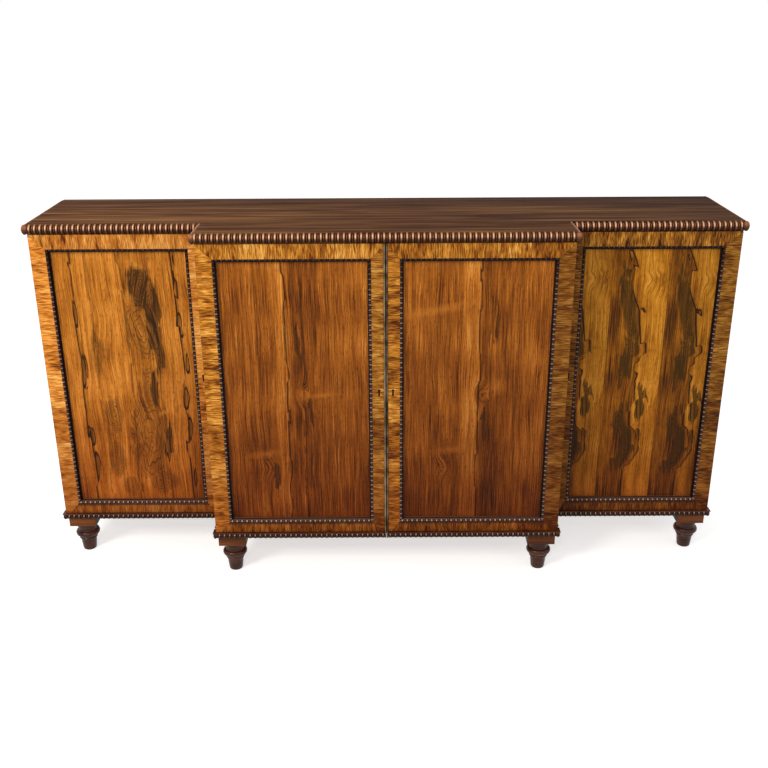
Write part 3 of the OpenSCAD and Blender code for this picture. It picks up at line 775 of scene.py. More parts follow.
@dataclass(frozen=True)
class TurnedBeads(Finish):
    """Rosewood bead-and-reel, turned, split and planted, under old French polish.

    The crests are painted brighter, partly as wear of hands and dusters and partly as a painted highlight,
    and the grooves are painted near black, partly as old polish and dirt and partly as painted shade, so
    that the eye sees a row of bright dots on a dark line. The light is how much of that painted highlight
    and wear shows, by the way the surface turns, from the moulding's underside to its top.
    """

    crest_wear_and_highlight: str = "#f6c89e"
    shoulder: str = "#b4724a"
    flank: str = "#7c3e22"
    reel: str = "#8c5a3a"
    groove: str = "#341a0e"
    light: Levels = (
        (0.0, 0.0), (0.4, 0.1), (0.54, 0.5), (0.66, 1.0), (0.82, 1.0), (0.92, 0.5), (1.0, 0.15),
    )
    # Height from which a painted shadow under the top darkens the beads
    overhang_shade_from: float = 0.0

    def pattern(self, net: Surface) -> Pattern:
        """Build the wear from the swell that the moulding carries.

        Args:
            net: The material's tree.

        Returns:
            The colour's node and the height's node.
        """
        # Painted highlight on the crests and painted shade in the grooves, partly wear and dirt
        tones = (self.groove, self.groove, self.reel, self.groove, self.flank, self.shoulder, self.crest_wear_and_highlight)
        stops = tuple(zip((0.0, 0.35, 0.45, 0.52, 0.7, 0.88, 0.98), tones))
        swell = net.add("Attribute", attribute_name="swell").outputs["Fac"]
        tone = net.fibres(net.point, (5.0, 5.0, 5.0))
        # Painted highlight, partly wear: the crests are brightest where the surface turns towards the light
        height = net.add("MapRange", net.normal["Z"], -1.0, 1.0, 0.0, 1.0)
        worn = net.add("ValToRGB", height, stops=self.light)
        worn = net.add("Math.MULTIPLY", worn, net.add("MapRange", tone, 0.35, 0.6, 0.7, 1.0))
        # Painted shadow: the beads darken towards the top of the beading, under the top's overhang
        if self.overhang_shade_from:
            reach = (self.overhang_shade_from, self.overhang_shade_from + 100.0, 1.0, 0.12)
            worn = net.add("Math.MULTIPLY", worn, net.add("MapRange", net.place["Z"], *reach))
        return net.layered(self.groove, (net.add("ValToRGB", swell, stops=stops), worn)), tone


class Grain(Enum):
    """Which way the fibres run on a piece."""

    ALONG_X = 0
    ALONG_Z = 2

    def size(self, width: float, length: float) -> Size:
        """Give the size of a fleck: its length along the grain and its width across it."""
        return tuple(length if axis == self.value else width for axis in range(3))


@dataclass(frozen=True)
class LongGrainWood(Finish):
    """Straight-grained veneer or solid timber, planed and polished or left bare.

    The eye sees fine streaks along the grain, with darker bands between them. The streaks are some 0.5 mm
    wide in the wood, and drawn as wide as the fleck to show. A painted shade darkens it towards the right
    and the back, a painted highlight lightens what faces up, and the ends, cut across the grain, are
    darker, partly as end grain and partly as painted shade.
    """

    grain: Grain = Grain.ALONG_Z
    fleck: float = 2.4
    band: float = 26.0
    length: float = 320.0
    tones: Stops = ()
    # Painted shade towards the right and the back: how much, its tone and where it runs
    falloff_shade: float = 0.0
    falloff_shade_tone: str = "#2c140a"
    falloff_shade_across: Pair = (-880.0, 880.0)
    falloff_shade_back: Pair = (60.0, 214.0)
    painted_top_light: str = ""
    ends: str = ""

    def pattern(self, net: Surface) -> Pattern:
        """Build the streaks.

        Args:
            net: The material's tree.

        Returns:
            The colour's node and the height's node.
        """
        broad_size = self.grain.size(self.band, self.length * 2.5)
        fine, tone = net.streaks(net.point, self.grain.size(self.fleck, self.length), broad_size)
        layers = []
        # Painted shade, darker towards the right and the back
        if self.falloff_shade:
            away = net.add("MapRange", net.place["X"], *self.falloff_shade_across, 0.0, self.falloff_shade)
            deep = net.add("MapRange", net.place["Y"], *self.falloff_shade_back, 0.0, self.falloff_shade * 0.6)
            layers.append((self.falloff_shade_tone, net.add("Math.ADD", away, deep)))
        # Painted highlight on faces that turn up
        if self.painted_top_light:
            layers.append((self.painted_top_light, net.add("MapRange", net.normal["Z"], *TURNED_TO)))
        # Darker end-grain faces, partly end grain and partly painted shade on the blocks' sides
        if self.ends:
            facing = net.add("Math.ABSOLUTE", net.normal[self.grain.value])
            layers.append((self.ends, net.add("MapRange", facing, *TURNED_TO)))
        colour = net.layered(net.add("ValToRGB", tone, stops=self.tones), *layers)
        return colour, net.add("MapRange", fine, 0.3, 0.6, 0.0, 1.0)


@dataclass(frozen=True)
class CastMetal(Finish):
    """Brass or steel that was filed, polished once and left to tarnish.

    Metal with brown tarnish in soft patches and fine scratches; the eye sees a dull glint along edges.
    """

    bright: str = "#8c7850"
    tarnish: str = "#463824"
    patch: float = 14.0
    metallic: float = 1.0
    roughness: Pair = (0.28, 0.5)

    def pattern(self, net: Surface) -> Pattern:
        """Build the tarnish and scratches.

        Args:
            net: The material's tree.

        Returns:
            The colour's node and the height's node.
        """
        patches = net.fibres(net.point, (self.patch, self.patch, self.patch * 2), 3.0)
        clean = net.add("MapRange", patches, 0.38, 0.62, 0.0, 1.0)
        # File marks are under 0.1 mm wide, and drawn 0.8 mm wide to show
        scratches = net.fibres(net.point, (0.8, 0.8, 18.0), 1.0)
        return net.layered(self.tarnish, (self.bright, clean)), net.add("Math.MULTIPLY", clean, scratches)


# Meshes


def skin(rings: Sequence[Sequence[Vector]], closed: bool, name: str) -> Mesh:
    """Make a closed solid from rings of points.

    Args:
        rings: Rings with the same number of points each, in order along the solid.
        closed: Whether the last ring joins the first; otherwise both ends are capped.
        name: The mesh's name.

    Returns:
        The mesh, with its faces outwards.
    """
    shape = bmesh.new()
    points = [[shape.verts.new(point) for point in ring] for ring in rings]
    count = len(points)
    for number in range(count if closed else count - 1):
        ring, following = points[number], points[(number + 1) % count]
        for index in range(len(ring)):
            after = (index + 1) % len(ring)
            shape.faces.new((ring[index], ring[after], following[after], following[index]))
    if not closed:
        shape.faces.new(points[0][::-1])
        shape.faces.new(points[-1])
    bmesh.ops.remove_doubles(shape, verts=shape.verts, dist=1e-7)
    bmesh.ops.recalc_face_normals(shape, faces=shape.faces)
    mesh = bpy.data.meshes.new(name)
    shape.to_mesh(mesh)
    shape.free()
    return mesh


def shade(mesh: Mesh, sharp: float) -> None:
    """Shade a mesh smooth, with its edges sharp where they turn by more than an angle.

    Args:
        mesh: The mesh.
        sharp: The angle in degrees.
    """
    mesh.shade_smooth()
    mesh.set_sharp_from_angle(angle=math.radians(sharp))


def joined(name: str, parts: Sequence[tuple[Mesh, Material]]) -> Mesh:
    """Put several meshes into one.

    Args:
        name: The new mesh's name.
        parts: The meshes, which are removed, with the finish of each.

    Returns:
        The new mesh.
    """
    finishes = list(dict.fromkeys(material for _, material in parts))
    whole = bmesh.new()
    for mesh, material in parts:
        mesh.materials.clear()
        mesh.polygons.foreach_set("material_index", [finishes.index(material)] * len(mesh.polygons))
        whole.from_mesh(mesh)
    result = bpy.data.meshes.new(name)
    whole.to_mesh(result)
    whole.free()
    for mesh, _ in parts:
        bpy.data.meshes.remove(mesh)
    for material in finishes:
        result.materials.append(material)
    return result


def put_in(name: str, data: ID) -> Object:
    """Put a new object into the scene.

    Args:
        name: Its name.
        data: Its mesh, lamp or camera.

    Returns:
        The object.
    """
    made = bpy.data.objects.new(name, data)
    bpy.context.collection.objects.link(made)
    return made


def place_piece(mesh: Mesh, body: str, nodes: Sequence[str]) -> Object:
    """Put a finished mesh into the scene.

    Args:
        mesh: The mesh, whose name the piece takes.
        body: The body that it rides on.
        nodes: The CAD nodes that it stands for.

    Returns:
        The piece.
    """
    piece = put_in(mesh.name, mesh)
    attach(piece, body)
    if nodes:
        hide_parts(*nodes)
    LOG.info("%s: %d faces, rides on %s", piece.name, len(mesh.polygons), body)
    return piece


def copy_of(node: Object, name: str) -> Mesh:
    """Copy a CAD node's mesh and merge its loose triangles.

    Args:
        node: The CAD node.
        name: The copy's name.

    Returns:
        The merged mesh, with flat faces dissolved.
    """
    shape = bmesh.new()
    shape.from_mesh(node.data)
    bmesh.ops.remove_doubles(shape, verts=shape.verts, dist=1e-6)
    bmesh.ops.dissolve_limit(shape, angle_limit=math.radians(0.5), verts=shape.verts, edges=shape.edges)
    mesh = bpy.data.meshes.new(name)
    shape.to_mesh(mesh)
    shape.free()
    return mesh


def grown(seed: Mesh, name: str, tree: NodeTree, given: dict[str, object]) -> Mesh:
    """Run a Geometry Nodes tree over a mesh and keep what it makes.

    Args:
        seed: The mesh that the tree starts from.
        name: The new mesh's name.
        tree: The tree.
        given: Values for the tree's inputs by name.

    Returns:
        The plain mesh.
    """
    carrier = put_in(name + "_seed", seed)
    modifier = carrier.modifiers.new("grow", "NODES")
    modifier.node_group = tree
    for item in tree.interface.items_tree:
        if item.in_out == "INPUT" and item.name in given:
            modifier[item.identifier] = given[item.name]
    evaluated = carrier.evaluated_get(bpy.context.evaluated_depsgraph_get())
    result = bpy.data.meshes.new_from_object(evaluated)
    result.name = name
    carrier.modifiers.remove(modifier)
    bpy.data.objects.remove(carrier)
    bpy.data.meshes.remove(seed)
    for attribute in ("outward", "corner", "facing"):
        if attribute in result.attributes:
            result.attributes.remove(result.attributes[attribute])
    return result


def strip(
    points: Sequence[Vector], walls: Sequence[Vector], section: Levels, axis: Vector, name: str
) -> Mesh:
    """Run a flat section along walls, mitred where they turn.

    Args:
        points: Ends and corners along the wall.
        walls: The direction out of the wall for each stretch; as many as the points makes a closed ring.
        section: The section's corners, each a distance out of the wall and one along the axis.
        axis: The direction square to the path and the walls.
        name: The mesh's name.

    Returns:
        The mesh.
    """
    closed = len(walls) == len(points)
    rings = []
    for number, point in enumerate(points):
        before = walls[number - 1] if closed or number > 0 else walls[0]
        after = walls[number] if number < len(walls) else walls[-1]
        out = before if (before - after).length < 1e-6 else before + after
        rings.append([point + out * reach + axis * rise for reach, rise in section])
    mesh = skin(rings, closed, name)
    shade(mesh, 30)
    return mesh


# Mouldings and screws


class Side(Enum):
    """Left or right half, seen from the front."""

    LEFT = -1
    RIGHT = 1


class Bay(Enum):
    """Which part of the front a door closes."""

    WING = "wing"
    CENTRE = "centre"


def door_name(side: Side, bay: Bay) -> str:
    """Name a door as its CAD nodes do."""
    return f"{side.name.lower()}_{bay.value}"


def declare(tree: NodeTree, given: dict[str, str], made: str) -> None:
    """Declare a Geometry Nodes tree's named inputs and its output.

    Args:
        tree: The tree.
        given: The inputs' names, each with its kind of socket.
        made: The output's name.
    """
    for name, kind in given.items():
        tree.interface.new_socket(name=name, in_out="INPUT", socket_type="NodeSocket" + kind)
    tree.interface.new_socket(name=made, in_out="OUTPUT", socket_type="NodeSocketGeometry")


@dataclass
class BeadTree:
    """Geometry Nodes tree that sweeps a half-round bead-and-reel along edges and sets beads on corners.

    Each pitch has a number of stations, the first of them on the bead and the rest on the reel. The groove
    and the reel are parts of the full radius.
    """

    name: str = "bead_and_reel"
    stations: int = 10
    bead: int = 6
    groove: float = 0.66
    reel: float = 0.45
    roundness: float = 0.5
    ball_swell: float = 0.8
    ball_segments: int = 16
    ball_rings: int = 10
    crisp_angle: float = 70.0
    tree: NodeTree = field(init=False)

    def __post_init__(self) -> None:
        """Build the tree."""
        self.tree = bpy.data.node_groups.new(self.name, "GeometryNodeTree")
        inputs = {"Lines": "Geometry", "Radius": "Float", "Pitch": "Float", "Sides": "Int"}
        declare(self.tree, {**inputs, "Corner Shape": "Vector", "Finish": "Material"}, "Moulding")
        net = Network(self.tree, "GeometryNode")
        given = net.add("NodeGroupInput").outputs
        lines = net.add("MeshToCurve", given["Lines"])
        beads = net.add("ShaderNodeMath.DIVIDE", net.add("SplineLength"), given["Pitch"])
        beads = net.add("ShaderNodeMath.ROUND", beads)
        count = net.add("ShaderNodeMath.MULTIPLY_ADD", beads, float(self.stations), 1.0)
        lines = net.add("ResampleCurve", lines, None, count, mode="COUNT")
        outward = net.add("InputNamedAttribute", "outward", data_type="FLOAT_VECTOR")
        lines = net.add("SetCurveNormal", lines, None, outward.outputs["Attribute"], mode="FREE")
        arc = {"Resolution": given["Sides"], "Radius": 1.0}
        arc |= {"Start Angle": -math.pi / 2, "Sweep Angle": math.pi}
        profile = net.add("SetSplineCyclic", net.add("CurveArc", named=arc), None, True)
        swell = self.swell(net)
        kept = {"data_type": "FLOAT", "domain": "POINT"}
        lines = net.add("StoreNamedAttribute", lines, None, "swell", swell, **kept)
        size = net.add("ShaderNodeMath.MULTIPLY_ADD", swell, 1.0 - self.groove, self.groove)
        size = net.add("ShaderNodeMath.MULTIPLY", size, given["Radius"])
        swept = net.add("CurveToMesh", lines, profile, size, True)
        ball = net.add("MeshUVSphere", self.ball_segments, self.ball_rings, given["Radius"])
        ball = net.add("StoreNamedAttribute", ball, None, "swell", self.ball_swell, **kept)
        corner = net.add("InputNamedAttribute", "corner", data_type="BOOLEAN")
        shape = {"Scale": given["Corner Shape"]}
        balls = net.add("InstanceOnPoints", given["Lines"], corner.outputs["Attribute"], ball, named=shape)
        both = net.add("JoinGeometry")
        for part in (swept, balls):
            net.feed(part, both.inputs[0])
        turned = net.add("InputMeshEdgeAngle").outputs["Unsigned Angle"]
        crisp = net.add("ShaderNodeMath.GREATER_THAN", turned, math.radians(self.crisp_angle))
        whole = net.add("RealizeInstances", both)
        whole = net.add("SetShadeSmooth", whole, None, True, domain="FACE")
        whole = net.add("SetShadeSmooth", whole, crisp, False, domain="EDGE")
        whole = net.add("SetMaterial", whole, None, given["Finish"])
        net.add("NodeGroupOutput", whole)

    def swell(self, net: Network) -> Node:
        """Shape a run: in each pitch a long bead and a lower reel, with a groove on both sides.

        Args:
            net: The tree.

        Returns:
            A node that is 0 in the grooves and 1 on the beads' crests.
        """
        step = net.add("SplineParameter").outputs["Index"]
        place = net.add("ShaderNodeMath.MODULO", step, float(self.stations))
        on_reel = net.add("ShaderNodeMath.GREATER_THAN", place, float(self.bead))
        along_bead = net.add("ShaderNodeMath.MULTIPLY", place, math.pi / self.bead)
        past = net.add("ShaderNodeMath.SUBTRACT", place, float(self.bead))
        along_reel = net.add("ShaderNodeMath.MULTIPLY", past, math.pi / (self.stations - self.bead))
        turn = net.add("GeometryNodeSwitch", on_reel, along_bead, along_reel, input_type="FLOAT")
        lobe = net.add("ShaderNodeMath.ABSOLUTE", net.add("ShaderNodeMath.SINE", turn))
        lobe = net.add("ShaderNodeMath.POWER", lobe, self.roundness)
        lower = net.add("ShaderNodeMath.MULTIPLY_ADD", on_reel, self.reel - 1.0, 1.0)
        return net.add("ShaderNodeMath.MULTIPLY", lobe, lower)


@dataclass
class BeadMoulding:
    """Bead-and-reel of one radius on one body: straight runs on walls, and round beads on outer corners.

    A corner's bead stands out by a part of the radius, and is narrower than the radius by its shape.
    """

    tree: BeadTree
    radius: float
    sides: int = 7
    pitch: float = 13.2 * MM
    corner_out: float = 0.3
    corner_shape: Size = (0.62, 0.62, 1.0)
    runs: list[tuple[Vector, Vector, Vector]] = field(default_factory=list)
    corners: list[Vector] = field(default_factory=list)

    def path(self, points: Sequence[Vector], walls: Sequence[Vector]) -> None:
        """Lead the moulding round outer corners.

        Args:
            points: Ends and corners along the wall.
            walls: The direction out of the wall for each stretch between them.
        """
        for number, wall in enumerate(walls):
            self.runs.append((points[number], points[number + 1], wall))
            if number > 0:
                both_walls = walls[number - 1] + wall
                self.corners.append(points[number] + both_walls * self.corner_out * self.radius)

    def mesh(self, name: str, material: Material) -> Mesh:
        """Sweep the moulding.

        Args:
            name: The mesh's name.
            material: Its finish.

        Returns:
            The mesh.
        """
        points = [point for start, end, _ in self.runs for point in (start, end)]
        outward = [wall for *_, wall in self.runs for _ in range(2)]
        edges = [(2 * number, 2 * number + 1) for number in range(len(self.runs))]
        seed = bpy.data.meshes.new(name + "_lines")
        seed.from_pydata(points + self.corners, edges, [])
        outward += [UPWARD] * len(self.corners)
        directions = seed.attributes.new("outward", "FLOAT_VECTOR", "POINT")
        directions.data.foreach_set("vector", [value for wall in outward for value in wall])
        flags = seed.attributes.new("corner", "BOOLEAN", "POINT")
        flags.data.foreach_set("value", [number >= len(points) for number in range(len(outward))])
        given = {"Radius": self.radius, "Pitch": self.pitch, "Sides": self.sides}
        given |= {"Corner Shape": self.corner_shape, "Finish": material}
        return grown(seed, name, self.tree.tree, given)


@dataclass
class ScrewTree:
    """Geometry Nodes tree that sets a slotted countersunk screw head on each point of a mesh.

    Each slot is turned at random, from a fixed seed.
    """

    vertices: int = 20
    seed: int = 7
    tree: NodeTree = field(init=False)

    def __post_init__(self) -> None:
        """Build the tree."""
        self.tree = bpy.data.node_groups.new("slotted_screws", "GeometryNodeTree")
        inputs = {"Places": "Geometry", "Radius": "Float", "Height": "Float", "Slot": "Float"}
        declare(self.tree, {**inputs, "Finish": "Material"}, "Screws")
        net = Network(self.tree, "GeometryNode")
        given = net.add("NodeGroupInput").outputs
        drum = {"Vertices": self.vertices, "Radius": given["Radius"], "Depth": given["Height"]}
        head = net.add("MeshCylinder", named=drum)
        across = net.add("ShaderNodeMath.MULTIPLY", given["Radius"], 3.0)
        slot = net.add("MeshCube", net.add("ShaderNodeCombineXYZ", across, given["Slot"], given["Height"]))
        lift = net.add("ShaderNodeMath.MULTIPLY", given["Height"], 0.5)
        lift = net.add("ShaderNodeCombineXYZ", None, None, lift)
        slot = net.add("Transform", slot, named={"Translation": lift})
        cut = net.add("MeshBoolean.DIFFERENCE", head, slot, solver="EXACT")
        facing = net.add("InputNamedAttribute", "facing", data_type="FLOAT_VECTOR").outputs["Attribute"]
        upright = net.add("FunctionNodeAlignRotationToVector", named={"Vector": facing}, axis="Z")
        limits = {2: 0.0, 3: math.pi, 8: self.seed}
        random = net.add("FunctionNodeRandomValue", named=limits, data_type="FLOAT")
        turn = net.add("FunctionNodeAxisAngleToRotation", (0.0, 0.0, 1.0), random.outputs[1])
        turned = net.add("FunctionNodeRotateRotation", upright, turn, rotation_space="LOCAL")
        placed = net.add("InstanceOnPoints", given["Places"], None, cut, named={"Rotation": turned})
        whole = net.add("SetMaterial", net.add("RealizeInstances", placed), None, given["Finish"])
        net.add("NodeGroupOutput", whole)


@dataclass
class Screws:
    """The screws of hinges, locks and strike plates: slotted brass heads, filed flush.

    A hinge leaf has its holes in a zigzag: each stands at a part of its height, and so many millimetres
    from its middle line.
    """

    trees: ScrewTree
    brass: Material
    radius: float = 2.5 * MM
    small_radius: float = 1.7 * MM
    height: float = 0.16 * MM
    slot: float = 0.7 * MM
    leaf_in: float = 13.5 * MM
    leaf_out: float = 0.1 * MM
    hinge_h: float = 60 * MM
    holes: Levels = ((0.16, -2.0), (0.5, 2.0), (0.84, -2.0))
    lock_rim: float = 3.4 * MM
    plate_rim: float = 4 * MM

    def set_heads(
        self, name: str, body: str, radius: float, places: Sequence[tuple[Vector, Vector]]
    ) -> None:
        """Set screws on one body.

        Args:
            name: The piece's name.
            body: The body that it rides on.
            radius: Radius of the heads.
            places: For each screw its middle and the direction that it faces.
        """
        seed = bpy.data.meshes.new(name + "_places")
        seed.from_pydata([place for place, _ in places], [], [])
        facing = seed.attributes.new("facing", "FLOAT_VECTOR", "POINT")
        facing.data.foreach_set("vector", [value for _, way in places for value in way])
        given = {"Radius": radius, "Height": self.height, "Slot": self.slot, "Finish": self.brass}
        mesh = grown(seed, name, self.trees.tree, given)
        shade(mesh, 30)
        place_piece(mesh, body, [])

    def leaf_places(self, prefix: str, side: float, back: float) -> list[tuple[Vector, Vector]]:
        """Find the screws of one door's two leaves.

        Args:
            prefix: The door's name in its nodes.
            side: -1 for a left-hand door and 1 for a right-hand one.
            back: 1 for the door's leaves, which face backwards, and -1 for the carcase's.

        Returns:
            Places and directions.
        """
        low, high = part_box(prefix + "_hinge_leaves")
        x = side * (max(abs(low.x), abs(high.x)) - self.leaf_in)
        y = (low.y + high.y) / 2 - back * self.leaf_out
        way = Vector((0.0, back, 0.0))
        places = []
        for foot in (low.z, high.z - self.hinge_h):
            for part, shift in self.holes:
                places.append((Vector((x + side * shift * MM, y, foot + part * self.hinge_h)), way))
        return places

    def build(self) -> None:
        """Set the screws of every door and those on the carcase."""
        fixed = []
        for bay in Bay:
            for side in Side:
                prefix = door_name(side, bay)
                moving = self.leaf_places(prefix, side.value, 1)
                self.set_heads(prefix + "_hinge_screws", prefix + "_door", self.radius, moving)
                fixed += self.leaf_places(prefix, side.value, -1)
        self.set_heads("fixed_leaf_screws", "carcase", self.radius, fixed)
        for prefix in ("left_wing", "right_wing", "right_centre"):
            low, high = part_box(prefix + "_lock")
            rim = self.lock_rim
            corners = [(x, z) for x in (low.x + rim, high.x - rim) for z in (low.z + rim, high.z - rim)]
            places = [(Vector((x, high.y, z)), BACKWARD) for x, z in corners]
            self.set_heads(prefix + "_lock_screws", prefix + "_door", self.small_radius, places)
        low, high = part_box("strike_plates")
        middle = (low.y + high.y) / 2
        places = [
            (Vector((side.value * high.x, middle, z)), Vector((side.value, 0, 0)))
            for side in Side
            for z in (low.z + self.plate_rim, high.z - self.plate_rim)
        ]
        self.set_heads("strike_plate_screws", "carcase", self.small_radius, places)


# Sub-assemblies


@dataclass
class Top:
    """The top board with its half-round bead-and-reel."""

    trees: BeadTree
    beads: Material
    board: Material
    radius: float = 12.5 * MM
    sides: int = 9

    def build(self, nodes: dict[str, Object]) -> None:
        """Dress the board and set the three mouldings.

        Args:
            nodes: The CAD nodes.
        """
        nodes["top_board"].data.materials[0] = self.board
        centre_low, centre_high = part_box("top_bead_centre")
        height = (centre_low.z + centre_high.z) / 2
        half, front, wing = centre_high.x - self.radius, centre_low.y + self.radius, centre_high.y
        breakfront = [(-half, wing), (-half, front), (half, front), (half, wing)]
        plans = {"centre": (breakfront, [LEFTWARD, FORWARD, RIGHTWARD])}
        for side, outward in zip(Side, (LEFTWARD, RIGHTWARD)):
            low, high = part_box("top_bead_" + side.name.lower())
            outer = side.value * (max(abs(low.x), abs(high.x)) - self.radius)
            inner = side.value * min(abs(low.x), abs(high.x))
            plans[side.name.lower()] = ([(inner, wing), (outer, wing), (outer, high.y)], [FORWARD, outward])
        for name, (plan, walls) in plans.items():
            moulding = BeadMoulding(self.trees, self.radius, self.sides)
            moulding.path([Vector((x, y, height)) for x, y in plan], walls)
            mesh = moulding.mesh("top_moulding_" + name, self.beads)
            place_piece(mesh, "carcase", ["top_bead_" + name])


@dataclass
class BaseMoulding:
    """Bead-and-reel with a flat fillet above it, along the foot of doors and sides."""

    trees: BeadTree
    beads: Material
    plain: Material
    radius: float = 8 * MM
    fillet_h: float = 2.5 * MM
    fillet_in: float = 0.5 * MM
    soften: float = 0.4 * MM
    behind: float = 24 * MM

    def parts(
        self, name: str, foot: float, points: Sequence[Pair], walls: Sequence[Vector]
    ) -> list[tuple[Mesh, Material]]:
        """Make one length of the moulding.

        Args:
            name: What its meshes are named after.
            foot: Height of its underside.
            points: Ends and corners along the wall, as x and y.
            walls: The direction out of the wall for each stretch.

        Returns:
            The bead's mesh and the fillet's, each with its finish.
        """
        moulding = BeadMoulding(self.trees, self.radius)
        moulding.path([Vector((x, y, foot + self.radius)) for x, y in points], walls)
        out, low = self.radius - self.fillet_in, 2 * self.radius - self.fillet_in
        high, cut = low + self.fillet_in + self.fillet_h, self.soften
        section = [(0.0, low), (out, low), (out, high - cut), (out - cut, high), (0.0, high)]
        ground = [Vector((x, y, foot)) for x, y in points]
        fillet = strip(ground, walls, section, UPWARD, name + "_fillet")
        return [(moulding.mesh(name + "_bead", self.beads), self.beads), (fillet, self.plain)]

    def returns(self) -> None:
        """Set the lengths that are fixed to the ends and the breakfront's sides."""
        low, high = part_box("base_bead_returns")
        step_low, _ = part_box("left_partition")
        half, step = high.x - self.radius, abs(step_low.x)
        wing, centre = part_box("left_wing_frame")[0].y, low.y
        start = wing + self.behind
        parts = []
        for side in Side:
            wall = [Vector((side.value, 0, 0))]
            ends = [(side.value * half, high.y), (side.value * half, start)]
            steps = [(side.value * step, wing), (side.value * step, centre)]
            parts += self.parts("end", low.z, ends, wall) + self.parts("step", low.z, steps, wall)
        mesh = joined("base_moulding_returns", parts)
        place_piece(mesh, "carcase", ["base_bead_returns"])


@dataclass
class Door:
    """A door: crossbanded frame, figured panel, beading, base moulding and metalwork."""

    side: Side
    bay: Bay
    fine_trees: BeadTree
    black_beads: Material
    black: Material
    base: BaseMoulding
    panel: FiguredRosewood
    band: CrossbandedRosewood
    beading_r: float = 3 * MM
    beading_w: float = 9 * MM
    step_d: float = 3 * MM
    chamfer: float = 0.6 * MM
    beading_pitch: float = 12.55 * MM
    beading_sides: int = 5
    corner_shape: Size = (0.95, 0.95, 0.95)

    @property
    def prefix(self) -> str:
        """The door's name in its nodes."""
        return door_name(self.side, self.bay)

    @property
    def body(self) -> str:
        """The body that the door's pieces ride on."""
        return self.prefix + "_door"

    def build(self, nodes: dict[str, Object]) -> None:
        """Dress the frame and panel and set the mouldings.

        Args:
            nodes: The CAD nodes.
        """
        nodes[self.prefix + "_frame"].data.materials[0] = self.band.material()
        nodes[self.prefix + "_panel"].data.materials[0] = self.panel.material()
        self.set_beading()
        self.set_base()

    def set_beading(self) -> None:
        """Set the beading round the panel: a stepped black ring with the fine bead-and-reel on it."""
        low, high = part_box(self.prefix + "_beading")
        face, radius = low.y + self.beading_r, self.beading_r
        deep, width = high.y - face, self.beading_w
        step = deep - self.step_d
        section = [
            (0.0, deep), (0.0, 0.0), (2 * radius, 0.0), (2 * radius, step),
            (width - self.chamfer, step), (width, step + self.chamfer), (width, deep),
        ]
        walls = [UPWARD, LEFTWARD, DOWNWARD, RIGHTWARD]
        outer, inner = (
            [
                Vector((x, face, z))
                for x, z in (
                    (low.x + inset, low.z + inset), (high.x - inset, low.z + inset),
                    (high.x - inset, high.z - inset), (low.x + inset, high.z - inset),
                )
            ]
            for inset in (0.0, radius)
        )
        ring = strip(outer, walls, section, BACKWARD, self.prefix + "_ring")
        moulding = BeadMoulding(
            self.fine_trees, radius, self.beading_sides, self.beading_pitch, corner_shape=self.corner_shape
        )
        for start, end in zip(inner, inner[1:] + inner[:1]):
            moulding.runs.append((start, end, FORWARD))
        moulding.corners += inner
        parts = [(ring, self.black), (moulding.mesh("run", self.black_beads), self.black_beads)]
        mesh = joined(self.prefix + "_bead_and_reel", parts)
        place_piece(mesh, self.body, [self.prefix + "_beading"])

    def set_base(self) -> None:
        """Set the moulding along the door's foot, which turns round its hinge edge."""
        low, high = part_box(self.prefix + "_base_bead")
        radius = self.base.radius
        face = low.y + radius
        hinge = self.side.value * (max(abs(low.x), abs(high.x)) - radius)
        free = self.side.value * min(abs(low.x), abs(high.x))
        points = [(free, face), (hinge, face), (hinge, high.y)]
        walls = [FORWARD, self.side.value * RIGHTWARD]
        parts = self.base.parts(self.prefix + "_base", low.z, points, walls)
        mesh = joined(self.prefix + "_base_moulding", parts)
        place_piece(mesh, self.body, [self.prefix + "_base_bead"])


